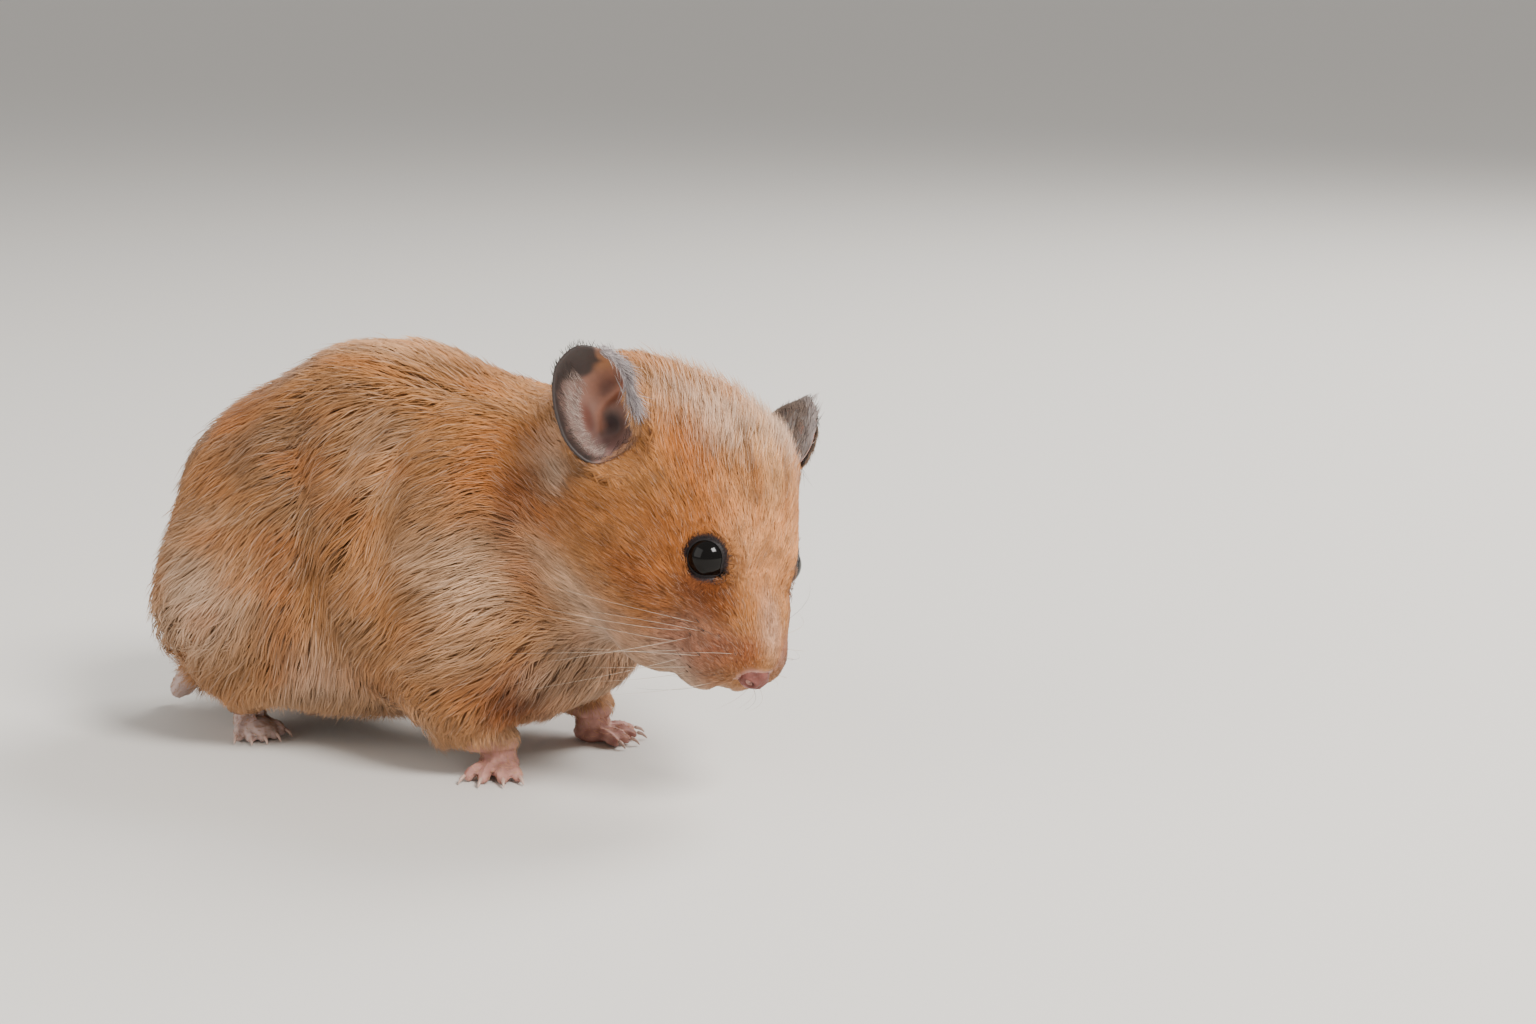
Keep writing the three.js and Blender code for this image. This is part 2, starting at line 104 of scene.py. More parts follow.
def off_eye(points, side):
    """How far places are from an eye's middle, ahead of it along its look, and across from that."""
    out = points - from_head(mirrored(EYE_AT, side))
    ahead = out @ eye_look(side)
    across = np.linalg.norm(out - ahead[:, None] * eye_look(side), axis=1)
    return np.linalg.norm(out, axis=1), ahead, across


# ---------------------------------------------------------------- small maths


def unit(vectors):
    return vectors / np.maximum(np.linalg.norm(vectors, axis=-1, keepdims=True), 1e-9)


def flat_to(vectors, normals):
    """Unit vectors along the surface with these normals."""
    return unit(vectors - (vectors * normals).sum(-1, keepdims=True) * normals)


def smoothstep(low, high, value):
    t = np.clip((value - low) / (high - low), 0, 1)
    return t * t * (3 - 2 * t)


def ripple(points, size, seed):
    """Smooth noise from about -1 to 1, with features of about that size."""
    draw = np.random.default_rng(seed)
    total = np.zeros(len(points))
    waves = 14
    for _ in range(waves):
        way = unit(draw.normal(size=3)) * draw.uniform(0.6, 1.5) * math.pi / size
        total += np.sin(points @ way + draw.uniform(0, 2 * math.pi))
    return total / math.sqrt(waves / 2) / 1.6


def along_line(points, line):
    """How far places are from a line through some corners."""
    line = np.asarray(line, float)
    nearest = np.full(len(points), np.inf)
    for start, end in zip(line[:-1], line[1:]):
        way = end - start
        share = np.clip((points - start) @ way / (way @ way), 0, 1)
        gap = np.linalg.norm(points - start - share[:, None] * way, axis=1)
        nearest = np.minimum(nearest, gap)
    return nearest


def off_mouth(head):
    """How far places of the head's frame are from the line of the mouth."""
    return np.minimum(along_line(head, MOUTH), along_line(head * (1, -1, 1), MOUTH))


def fitted(flat):
    """Places on a plane, moved and scaled into a unit square."""
    low, high = flat.min(0), flat.max(0)
    return 0.01 + 0.98 * (flat - low) / (high - low).max()


def linear(code):
    """A colour written as in a paint program, as linear light."""
    srgb = np.array([int(code[i : i + 2], 16) for i in (1, 3, 5)]) / 255
    return np.where(srgb <= 0.04045, srgb / 12.92, ((srgb + 0.055) / 1.055) ** 2.4)


def mix(a, b, share):
    share = np.asarray(share)[..., None]
    return a * (1 - share) + b * share


# ---------------------------------------------------------------- the lie and depth of the coat

# Guide hairs: place, the way the hair lies, depth of the coat, length of a tuft and its width. They hold
# for both sides of the body where their y isn't 0.
TRUNK_GUIDES = [
    ((50, 0, 67), (-1, 0, -0.1), 3.4, 6.0, 0.20),
    ((33, 0, 68), (-1, 0, 0.05), 4.0, 7.5, 0.21),
    ((15, 0, 69), (-1, 0, -0.05), 4.4, 8.5, 0.22),
    ((-4, 0, 59), (-0.85, 0, -0.5), 4.6, 8.5, 0.22),
    ((-17, 0, 43), (-0.5, 0, -0.85), 4.8, 9.0, 0.22),
    ((-22, 0, 25), (-0.15, 0, -1), 4.8, 9.0, 0.22),
    ((-16, 0, 10), (-0.5, 0, -0.8), 3.6, 7.0, 0.22),
    ((-10, -20, 44), (-0.75, -0.1, -0.7), 4.8, 8.5, 0.22),
    ((9, -20, 56), (-0.85, -0.2, -0.75), 4.8, 8.5, 0.22),
    ((30, -17, 58), (-0.7, -0.2, -0.75), 4.4, 8.0, 0.21),
    ((44, -18, 53), (-0.8, -0.2, -0.55), 3.8, 7.0, 0.20),
    ((18, -26, 40), (-0.42, 0, -0.9), 5.0, 8.5, 0.22),
    ((32, -25, 36), (-0.45, 0, -0.9), 4.8, 8.0, 0.21),
    ((-12, -26, 27), (-0.6, 0, -0.85), 5.0, 9.0, 0.22),
    ((2, -28, 22), (-0.55, 0, -0.85), 5.0, 9.0, 0.22),
    ((18, -26, 20), (-0.3, 0, -0.95), 4.8, 9.0, 0.22),
    ((-14, -20, 12), (-0.6, 0.1, -0.8), 4.0, 8.0, 0.22),
    ((44, -23, 33), (-0.95, 0, -0.4), 4.4, 7.5, 0.20),
    ((40, -24, 22), (-0.85, 0, -0.5), 4.2, 7.5, 0.20),
    ((50, -20, 24), (-0.9, -0.1, -0.4), 3.8, 6.5, 0.19),
    ((29, -18, 9), (-0.4, 0, -0.9), 4.2, 8.5, 0.21),
    ((52, -16, 13), (-0.7, -0.1, -0.7), 2.6, 4.5, 0.17),
    ((60, -10, 20), (-0.7, -0.3, -0.6), 3.4, 6.0, 0.19),
    ((62, -2, 26), (-0.3, 0, -0.95), 3.6, 6.5, 0.20),
    ((56, 0, 11), (-0.8, 0, -0.6), 3.6, 6.5, 0.21),
    ((35, 0, 7), (-1, 0, -0.1), 3.4, 7.0, 0.23),
    ((10, 0, 6), (-1, 0, 0), 3.4, 7.0, 0.23),
]

# The same for the head, in its own frame.
HEAD_GUIDES = [
    ((21.5, 0, -1.6), (-1, 0, 0.5), 0.20, 0.9, 0.10),
    ((16, 0, 3.4), (-1, 0, 0.3), 0.50, 1.6, 0.10),
    ((9, 0, 8), (-1, 0, 0.5), 0.80, 2.2, 0.11),
    ((1, 0, 14), (-1, 0, 0.5), 1.20, 3.2, 0.12),
    ((-8, 0, 18.5), (-1, 0, 0.2), 1.60, 3.8, 0.13),
    ((-18, 0, 20), (-1, 0, -0.1), 2.40, 4.8, 0.16),
    ((-28, 0, 15), (-1, 0, -0.3), 3.00, 5.8, 0.19),
    ((17, 6, -4), (-0.9, 0.45, -0.1), 0.30, 1.2, 0.10),
    ((17, 4, -9), (-0.8, 0.5, -0.3), 0.30, 1.2, 0.10),
    ((12, 7, 0), (-0.95, 0.4, 0), 0.50, 1.7, 0.10),
    ((11, 8, -8), (-0.95, 0.35, -0.25), 0.60, 2.0, 0.11),
    ((10, 5, 5), (-0.95, 0.3, 0.3), 0.60, 1.8, 0.10),
    ((4, 10.5, 9), (-0.95, 0.15, 0.45), 0.80, 2.2, 0.11),
    ((-3, 14, 8), (-1, 0.1, 0.15), 1.10, 2.8, 0.12),
    ((-1, 16.5, 0), (-1, 0.2, -0.1), 1.30, 3.0, 0.12),
    ((5, 14, -6), (-0.97, 0.3, -0.2), 1.10, 2.8, 0.12),
    ((-5, 19, -6), (-1, 0.1, -0.15), 1.90, 3.8, 0.14),
    ((-16, 20, -6), (-1, 0, -0.1), 2.60, 4.8, 0.17),
    ((7, 8, -14), (-1, 0.2, -0.15), 1.20, 3.0, 0.12),
    ((-4, 9, -19), (-1, 0.1, -0.1), 2.20, 4.6, 0.16),
    ((13, 0, -14), (-1, 0, -0.2), 0.60, 1.8, 0.11),
    ((-4, 0, -20), (-1, 0, -0.1), 2.40, 4.6, 0.17),
    ((-8, 13, 13), (-1, 0.2, 0.3), 1.20, 3.2, 0.12),
    ((-14, 19, 2), (-1, 0.3, -0.2), 1.40, 3.2, 0.13),
]

# Shanks and bare parts: each foot stands where it does, so these aren't mirrored.
ANKLES = {
    "fore_right": (45.0, -10.6),
    "fore_left": (49.2, 12.6),
    "hind_right": (-6.2, -8.4),
    "hind_left": (-9.0, 12.0),
}
WRIST_BARE = {"fore": (7.6, 5.6), "hind": (5.6, 4.2)}  # heights between which the coat ends
NOSE_BARE = (2.5, 2.9, 2.5)  # half sizes of the bare nose
TAIL_BARE = (-26, -0.8, 4.5)  # the middle of the bare tail
SHANK_HEIGHT = 7.0
SHANK_GUIDE = ((-0.25, 0, -0.97), 0.9, 2.2, 0.13)
FOOT_GUIDE = ((1, 0, -0.2), 0.0, 0.9, 0.08)
TAIL_AT = (-25, -0.8, 6)
TAIL_GUIDE = ((-0.7, 0, -0.7), 0.05, 1.4, 0.10)
FOOT_PLACES = (-3, 1, 5)  # of a foot's guides, ahead of its ankle
CHUNK = 20000  # places worked on at a time, to save memory


class Guides:
    """What the guide hairs say at any place, the nearest of them counting most."""

    def __init__(self):
        rows = []
        tables = (TRUNK_GUIDES, np.array, np.eye(3)), (HEAD_GUIDES, from_head, HEAD_AXES)
        for table, carried, turn in tables:
            for place, lie, *rest in table:
                for side in (1, -1) if place[1] else (1,):
                    flip = (1, side, 1)
                    rows.append((carried(np.array(place) * flip), turn @ (np.array(lie) * flip), rest))
        for x, y in ANKLES.values():
            rows.append(((x, y, SHANK_HEIGHT), SHANK_GUIDE[0], SHANK_GUIDE[1:]))
            rows += [((x + ahead, y, 2.0), FOOT_GUIDE[0], FOOT_GUIDE[1:]) for ahead in FOOT_PLACES]
        rows.append((TAIL_AT, TAIL_GUIDE[0], TAIL_GUIDE[1:]))
        self.at = np.array([at for at, _, _ in rows], float)
        self.says = np.array([[*unit(np.array(lie)), *rest] for _, lie, rest in rows], float)

    def __call__(self, points):
        found = np.empty((len(points), 6))
        for start in range(0, len(points), CHUNK):
            part = slice(start, start + CHUNK)
            weight = 1 / (((points[part, None] - self.at) ** 2).sum(-1) + 2.0) ** 2
            found[part] = weight @ self.says / weight.sum(1, keepdims=True)
        depth = found[:, 3] * away_from_ears(points)
        return unit(found[:, :3]), depth, found[:, 4], found[:, 5]


# ---------------------------------------------------------------- the ears' shape

# The same funnel as in the solids. Its frame looks towards the brow, up to the tip and out of the hollow.
EAR = {
    "root": {"right": (-16, 18, 7.3), "left": (-14.1, 17.3, 8.6)},
    "tip": {"right": (-0.74, 0.44, 0.51), "left": (-0.715, 0.626, 0.312)},
    "open": {"right": (0.62, 0.63, 0.45), "left": (0.65, 0.76, -0.02)},
    "rim": [
        (0.2, -3.6, 1.4), (-4.4, -3.6, 1.3), (-6.7, 0, 1.0), (-7.0, 4.2, 0.6),
        (-6.2, 8.4, 0.2), (-4.3, 11.8, -0.2), (-0.6, 13.3, -0.6), (3.1, 11.1, -0.4),
        (4.7, 8.0, 0.6), (4.5, 5.0, 1.8), (4.2, 1.6, 2.4), (3.2, -1.8, 2.2),
    ],
    "curl": 0.74,
    "curl_span": 0.11,
    "curl_by": 1.8,
    "canal": 1.2,
    "depth": 4.6,
    "thick": 0.9,
}


def ear_axes(side):
    tip = unit(mirrored(EAR["tip"][side], side))
    opening = flat_to(mirrored(EAR["open"][side], side), tip)
    return np.array([np.cross(tip, opening) * -SIDES[side], tip, opening])


def from_ear(points, side):
    """Places of an ear's frame, in the body's."""
    return from_head(points @ ear_axes(side) + mirrored(EAR["root"][side], side))


def into_ear(points, side):
    return (into_head(points) - mirrored(EAR["root"][side], side)) @ ear_axes(side).T


def rim_at(turn):
    """The rim, once round from below the canal, as a centripetal curve."""
    rim = np.array(EAR["rim"])
    at = (np.asarray(turn) % 1) * len(rim)
    first = at.astype(int)
    share = (at - first)[..., None]
    a, b, c, d = [rim[(first + k) % len(rim)] for k in (-1, 0, 1, 2)]
    gaps = [np.linalg.norm(q - p, axis=-1, keepdims=True) for p, q in ((a, b), (b, c), (c, d))]
    ab, bc, cd = np.sqrt(gaps)
    leave = bc * ((b - a) / ab - (c - a) / (ab + bc) + (c - b) / bc)
    arrive = bc * ((c - b) / bc - (d - b) / (bc + cd) + (d - c) / cd)
    square = 3 * (c - b) - 2 * leave - arrive
    cube = 2 * (b - c) + leave + arrive
    return b + leave * share + square * share**2 + cube * share**3


def hollow_at(turn, share):
    """Places inside the hollow: share goes from the canal's floor to the rim."""
    rim = rim_at(turn)
    spoke = np.linalg.norm(rim[..., :2], axis=-1)
    curl = EAR["curl_by"] * np.exp(-(((turn - EAR["curl"]) / EAR["curl_span"]) ** 2))
    reach = EAR["canal"] + (spoke - EAR["canal"]) * share + curl * np.sin(math.pi * share) ** 2
    rise = rim[..., 2] - (rim[..., 2] + EAR["depth"]) * np.maximum(1 - share**2, 0) ** 1.2
    return np.concatenate([rim[..., :2] * (reach / spoke)[..., None], rise[..., None]], -1)


def wall_at(turn, share, out):
    """The same places moved through the ear's wall."""
    step = 0.01
    along = hollow_at(turn, share + step) - hollow_at(turn, share - step)
    around = hollow_at(turn + step, share) - hollow_at(turn - step, share)
    inward = unit(np.cross(along, around))
    inward = inward * np.where(inward[..., 2:] < 0, -1, 1)
    return hollow_at(turn, share) - inward * np.asarray(out)[..., None]


def ear_samples(side):
    """Places on the outside of an ear, near its foot."""
    turn, share = np.meshgrid(np.arange(24) / 24, np.linspace(0.1, 0.9, 7), indexing="ij")
    points = wall_at(turn.ravel(), share.ravel(), EAR["thick"] * (1 - share.ravel() / 2))
    return from_ear(points, side)


LEAST_BY_EARS = 0.12  # of the coat's depth
EARS_REACH = 45  # past this from the middle of both ears, no place is near one
EAR_SAMPLES = np.vstack([ear_samples(side) for side in SIDES])


def away_from_ears(points):
    """Near 0 against an ear, where the coat has hardly any depth, and 1 from some way off."""
    away = np.ones(len(points))
    near = np.flatnonzero(np.linalg.norm(points - EAR_SAMPLES.mean(0), axis=1) < EARS_REACH)
    for start in range(0, len(near), CHUNK):
        some = near[start : start + CHUNK]
        gap = np.linalg.norm(points[some, None] - EAR_SAMPLES, axis=-1).min(1)
        away[some] = smoothstep(0.4, 4.5, gap)
    return LEAST_BY_EARS + (1 - LEAST_BY_EARS) * away


def past_rim(local):
    """How far places of an ear's frame are outside its rim, and the heights of the rim and hollow there."""
    rim = rim_at(np.linspace(0, 1, 120, endpoint=False))
    angles = np.arctan2(rim[:, 1], rim[:, 0])
    angle = np.arctan2(local[:, 1], local[:, 0])
    spoke = np.interp(angle, angles, np.hypot(rim[:, 0], rim[:, 1]), period=2 * math.pi)
    height = np.interp(angle, angles, rim[:, 2], period=2 * math.pi)
    reach = np.hypot(local[:, 0], local[:, 1])
    share = np.clip((reach - EAR["canal"]) / (spoke - EAR["canal"]), 0, 1)
    floor = height - (height + EAR["depth"]) * (1 - share**2) ** 1.2
    return reach - spoke, height, floor


def in_ear(points, side, margin):
    """Whether places lie within an ear's outline, in or close to its hollow."""
    local = into_ear(points, side)
    outside, _, _ = past_rim(local)
    return (outside < margin) & (local[:, 2] > -EAR["depth"] - 1.2) & (local[:, 2] < 3.2)


def behind_ears(points):
    """Moves flesh that would show in a hollow behind the ear's wall, and slopes it away before the rim."""
    for side in SIDES:
        local = into_ear(points, side)
        outside, height, floor = past_rim(local)
        slope = 1.8 * outside
        top = np.where(outside < 0, floor - EAR["thick"] - 0.25, height + 0.05 + slope)
        moved = (outside < 2.8) & (local[:, 2] > top) & (local[:, 2] < 6)
        local[moved, 2] = top[moved]
        points = np.where(moved[:, None], from_ear(local, side), points)
    return points


guides = Guides()

# ---------------------------------------------------------------- markings

GINGER = linear("#b27a49")
GOLD = linear("#d2a273")
ORANGE = linear("#b0672d")
RUST = linear("#75391a")
TAN = linear("#bd9470")
CREAM = linear("#d0aa88")
PALE = linear("#e0c8b4")
BROWN = linear("#664429")
GREY = linear("#5f4b3b")
DUN = linear("#86684d")
BLUSH = linear("#a5735e")
PINK = linear("#bd8c80")
ROSE = linear("#94655b")
SOOT = linear("#2f2624")

# Soft patches of colour laid over one another: place, half sizes, colour and strength. A few are painted
# light or shade, as marked.
TRUNK_PATCHES = [
    ((15, 0, 0), (60, 26, 18), CREAM, 0.85),
    # Painted light: a paler gold over the top of the back, where light falls from above and behind.
    ((21, 0, 70), (17, 13, 6), linear("#dba678"), 0.85),
    ((4, 19, 53), (9, 8, 7), BROWN, 0.35),
    ((-4, 25, 28), (18, 14, 17), TAN, 0.75),
    ((-4, 27, 25), (11, 9, 10), mix(CREAM, PALE, 0.3), 0.8),
    ((-6, 18, 57), (16, 10, 10), RUST, 0.3),
    ((18, 24, 13), (9, 9, 8), PALE, 0.45),
    ((-18, 0, 26), (8, 22, 16), TAN, 0.6),
    ((13, 26, 31), (4, 9, 12), linear("#9d6136"), 0.65),
    ((24, 26, 24), (7, 9, 10), TAN, 0.6),
    ((9, 20, 52), (13, 9, 8), DUN, 0.6),
    ((16, 24, 44), (8, 9, 10), DUN, 0.6),
    ((27, 21, 51), (7, 8, 9), TAN, 0.5),
    ((35, 0, 66), (9, 13, 6), BROWN, 0.35),
    ((38, 18, 54), (5, 9, 11), GINGER, 0.6),
    ((33, 23, 44), (3.5, 8, 13), DUN, 0.35),
    ((46, 19, 52), (5, 8, 10), ORANGE, 0.65),
    ((46, 22, 34), (12, 9, 11), CREAM, 0.9),
    ((38, 24, 37), (5, 8, 10), TAN, 0.5),
    ((42, 23, 21), (11, 9, 8), TAN, 0.6),
    ((51, 15, 14), (8, 8, 8), RUST, 0.85),
    ((58, 13, 20), (7, 9, 10), CREAM, 0.5),
    ((60, -3, 22), (10, 14, 14), PALE, 0.4),
    # Painted shade: brown on the throat under each cheek.
    ((60, 12, 17), (6, 6, 6), BROWN, 0.45),
    ((57, 17, 57), (5, 5, 5), PALE, 0.5),
    ((54, 19, 46), (5.5, 7, 9), RUST * 0.9, 0.92),
    ((57, 19, 39), (6, 8, 9), ORANGE, 0.95),
    ((61, 17, 32), (4, 6, 6), GINGER, 0.6),
]
HEAD_PATCHES = [
    ((2, 0, 4), (18, 22, 18), ORANGE, 0.5),
    ((3, 14, 1.5), (10, 8, 8), linear("#9a5826"), 0.7),
    ((3, 16, -4), (8, 7, 3.5), RUST, 0.45),
    ((-13, 20, -6), (7, 7, 5), RUST, 0.4),
    ((-4, 0, 18), (13, 5, 6), GOLD, 0.5),
    ((-7, 11.5, 14.5), (8, 4.5, 6), ORANGE, 0.85),
    ((3, 9, 9), (5, 4, 4), ORANGE, 0.6),
    ((-13, 20, -14), (6, 7, 5), ORANGE, 0.6),
    ((-12, 6, 18), (7, 5, 6), mix(PALE, CREAM, 0.6), 0.5),
    ((4, 4.5, 11), (10, 5, 6), linear("#dc9a66"), 0.6),
    ((-5, 3.6, 18), (9, 1.0, 6), BROWN, 0.7),
    ((3, 3.0, 13), (7, 1.2, 5), ORANGE, 0.4),
    # Below the eye: its own rust colour, deepened by painted shade of the lower face.
    ((11.3, 9, 1.2), (5.4, 4.4, 4.6), RUST * 0.7, 0.92),
    ((7.5, 10, 0.2), (4, 3.5, 2.2), RUST * 0.6, 0.6),
    ((2, 13, -13), (15, 10, 5.5), linear("#b88460"), 0.75),
    ((-19, 12, 19), (6, 5, 6), PALE, 0.22),
    ((-8, 16, -16), (12, 9, 6.5), CREAM, 0.7),
    ((4, 0, -18), (22, 16, 8), PALE, 0.6),
    ((9, 2.0, 8), (6, 3.4, 5), linear("#dc9a66"), 0.65),
    ((17, 0, 2.5), (6.5, 2.8, 4.5), mix(CREAM, PINK, 0.4), 0.6),
    ((14, 8, -7), (9, 7, 6), BLUSH, 0.9),
    ((19, 3.2, -1.5), (3.6, 3.2, 3.6), linear("#87492f"), 0.85),
    ((15, 6, -12), (7, 6, 4), PALE, 0.5),
    ((17.3, 6.6, -2.6), (3.4, 3.4, 3.6), linear("#7d4733"), 0.8),
    ((-14.5, 20, 1), (3, 3.5, 3), SOOT, 0.5),
    ((-17, 20, -4), (3, 4, 3), PALE, 0.5),
]
STREAK = np.array([0.45, 1, 1])  # squeezes space along the coat's lie, so that noise makes streaks


def laid_over(colours, patches, points, wander):
    """Colours with patches over them. A patch with its y above 0 holds for both sides."""
    for number, (place, size, colour, strength) in enumerate(patches):
        edge = 1 + wander * ripple(points * STREAK, 5.0, 100 + number)
        for side in (1, -1) if place[1] > 0 else (1,):
            reach = (((points - np.array(place) * (1, side, 1)) / size) ** 2).sum(1) * edge
            colours = mix(colours, colour, strength * np.exp(-1.3 * np.maximum(reach, 0) ** 1.5))
    return colours


# Creases of the skin, mirrored: corners of the line, depth and width. The coat is also darkened along them as
# painted shade.
CREASES = [
    ([(11, -18, 56), (17, -24, 46), (18.5, -26, 36), (20, -25.5, 26), (21, -23, 16)], 3.0, 4.4),
    ([(29, -16, 59), (24, -22.5, 49.5), (19.5, -25.5, 41)], 2.0, 3.6),
    ([(34, -15, 58), (32.5, -22.5, 46), (31, -25, 33), (31.5, -24, 19)], 1.7, 3.6),
    ([(25.5, -26, 31), (26, -25, 22)], 1.3, 5.0),
    ([(58, -17.5, 55), (54.5, -20, 46), (56, -19.5, 38)], 1.2, 2.8),
]


def creased(points):
    """How deep a crease runs at places, and how much of one there is, from 0 to 1."""
    deep = np.zeros(len(points))
    share = np.zeros(len(points))
    for line, depth, width in CREASES:
        for side in (1, -1):
            here = np.exp(-((along_line(points * (1, side, 1), line) / width) ** 2))
            deep = np.maximum(deep, depth * here)
            share = np.maximum(share, here)
    return deep, share


def markings(points):
    """The colour of the coat at places of the body's frame, with painted shade in its creases."""
    colours = laid_over(GINGER, TRUNK_PATCHES, points, 0.35)
    # Painted shade: the coat turns a darker brown-grey along its creases.
    _, crease = creased(points)
    colours = mix(colours, colours * 0.55 + GREY * 0.25, crease**2 * 0.6)
    head = into_head(points)
    on_head = smoothstep(-26, -14, head[:, 0])
    colours = mix(colours, laid_over(colours, HEAD_PATCHES, head, 0.25), on_head)
    warm = 0.36 * ripple(points * STREAK, 4.5, 71) * (1 - 0.5 * on_head)
    colours = mix(colours, ORANGE, np.clip(warm, 0, 0.4))
    return mix(colours, DUN, np.clip(-warm, 0, 0.4))


def bareness(points):
    """1 on the bare skin of feet, nose and tail, 0 under the coat."""
    bare = np.zeros(len(points))
    for name, (x, y) in ANKLES.items():
        near = np.hypot(points[:, 0] - x, points[:, 1] - y)
        high, low = WRIST_BARE[name[:4]]
        bare = np.maximum(bare, smoothstep(high, low, points[:, 2]) * smoothstep(12, 9, near))
    nose = ((into_head(points) - NOSE_AT) / NOSE_BARE) ** 2
    tail = np.linalg.norm(points - TAIL_BARE, axis=1)
    return np.maximum.reduce([bare, smoothstep(1.3, 0.8, nose.sum(1)), smoothstep(6.5, 4.5, tail)])


# ---------------------------------------------------------------- meshes


def to_row(points):
    """Places of the body's frame as the row's, in metres."""
    return (points + SHIFT) * MM


def placed(name, data):
    """A new object in the scene."""
    made = bpy.data.objects.new(name, data)
    bpy.context.scene.collection.objects.link(made)
    return made


def add_tint(mesh, colours):
    """Writes the colours of a mesh's points, or one for them all, as its attribute Tint."""
    rgba = np.ones((len(mesh.vertices), 4), np.float32)
    rgba[:, :3] = colours
    mesh.color_attributes.new("Tint", "FLOAT_COLOR", "POINT").data.foreach_set("color", rgba.ravel())


def make_mesh(name, points, faces, finish, colours, normals=None, corner_uv=None):
    """A smooth piece from triangles in the body's frame, with a finish and colours."""
    mesh = bpy.data.meshes.new(name)
    mesh.vertices.add(len(points))
    mesh.vertices.foreach_set("co", to_row(points).ravel())
    mesh.loops.add(3 * len(faces))
    mesh.loops.foreach_set("vertex_index", faces.ravel().astype(np.int32))
    mesh.polygons.add(len(faces))
    mesh.polygons.foreach_set("loop_start", np.arange(0, 3 * len(faces), 3, dtype=np.int32))
    mesh.update(calc_edges=True)
    mesh.shade_smooth()
    add_tint(mesh, colours)
    if corner_uv is not None:
        mesh.uv_layers.new(name="OFBake").data.foreach_set("uv", corner_uv.ravel().astype(np.float32))
    if normals is not None:
        mesh.normals_split_custom_set_from_vertices(normals.tolist())
    mesh.materials.append(MATERIALS[finish])
    return placed(name, mesh)


def settle(piece, slot, *nodes):
    """What every piece needs: a body to ride on and the nodes it stands for. The slot is not used."""
    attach(piece, "root")
    if nodes:
        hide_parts(*nodes)


def strip_faces(sectors, rings):
    """Triangles over rings of points with a pole before the first and after the last."""
    at = lambda i, j: 1 + i * sectors + j % sectors
    last = 1 + rings * sectors
    faces = []
    for j in range(sectors):
        faces.append((0, at(0, j), at(0, j + 1)))
        faces.append((last, at(rings - 1, j + 1), at(rings - 1, j)))
        for i in range(rings - 1):
            faces.append((at(i, j), at(i + 1, j), at(i + 1, j + 1)))
            faces.append((at(i, j), at(i + 1, j + 1), at(i, j + 1)))
    return np.array(faces)


def ball_grid(sectors, rings):
    """Unit sphere points and triangles, with poles on Y."""
    polar = np.linspace(0, math.pi, rings + 1)[1:-1]
    around = np.arange(sectors) * 2 * math.pi / sectors
    polar, around = np.stack(np.meshgrid(polar, around, indexing="ij"), -1).reshape(-1, 2).T
    body = np.stack([np.sin(polar) * np.cos(around), -np.cos(polar), np.sin(polar) * np.sin(around)], 1)
    return np.vstack([[0, -1, 0], body, [0, 1, 0]]), strip_faces(sectors, rings - 1)


# ---------------------------------------------------------------- materials

# Finishes: the material's name and roughness, the scale of its noise with its darkest and lightest shade,
# and the strength and the depth in metres of its bumps.
FINISHES = {
    "coat": ("fur", 0.8, (1500, 0.88, 1.1), None),
    "skin": ("skin", 0.55, (1700, 0.84, 1.12), (0.4, 0.00015)),
    "ear": ("ear_skin", 0.5, (1300, 0.86, 1.12), (0.3, 0.00012)),
    "eye": ("eye", 0.1, (300, 0.9, 1.1), None),
    "claw": ("horn", 0.35, (2500, 0.85, 1.1), None),
}
# What else their shaders are told.
SOCKETS = {
    "coat": {"Specular IOR Level": 0.15, "Sheen Weight": 0.1, "Sheen Roughness": 0.45},
    "skin": {"Specular IOR Level": 0.35, "Subsurface Weight": 0.1, "Subsurface Scale": 0.0008},
    "ear": {"Subsurface Weight": 0.12, "Subsurface Scale": 0.001},
    "eye": {"Specular IOR Level": 0.2},
}
GRAIN = {"claw": (1, 1, 0.3)}  # how the noise is stretched, where it is


def set_inputs(node, values):
    for socket, value in values.items():
        node.inputs[socket].default_value = value


def new_material(name, roughness, sockets):
    """A material, with its Principled shader."""
    material = bpy.data.materials.new(name)
    material.use_nodes = True
    shader = material.node_tree.nodes["Principled BSDF"]
    set_inputs(shader, {"Roughness": roughness, **sockets})
    return material, shader


def tinted(tree, shader, noise_range, stretch):
    """The Tint attribute, varied a little by noise, as the shader's colour. Returns the noise."""
    kinds = ("Attribute", "TexCoord", "Mapping", "TexNoise", "MapRange", "Mix")
    tint, place, turn, noise, span, shade = [tree.nodes.new("ShaderNode" + kind) for kind in kinds]
    scale, dark, light = noise_range
    tint.attribute_name = "Tint"
    set_inputs(turn, {"Scale": stretch})
    set_inputs(noise, {"Scale": scale, "Detail": 4})
    set_inputs(span, {"To Min": dark, "To Max": light})
    shade.data_type = "RGBA"
    shade.blend_type = "MULTIPLY"
    set_inputs(shade, {"Factor": 1})
    link = tree.links.new
    link(place.outputs["Object"], turn.inputs["Vector"])
    link(turn.outputs["Vector"], noise.inputs["Vector"])
    link(noise.outputs["Fac"], span.inputs["Value"])
    link(tint.outputs["Color"], shade.inputs["A"])
    link(span.outputs["Result"], shade.inputs["B"])
    link(shade.outputs["Result"], shader.inputs["Base Color"])
    return noise


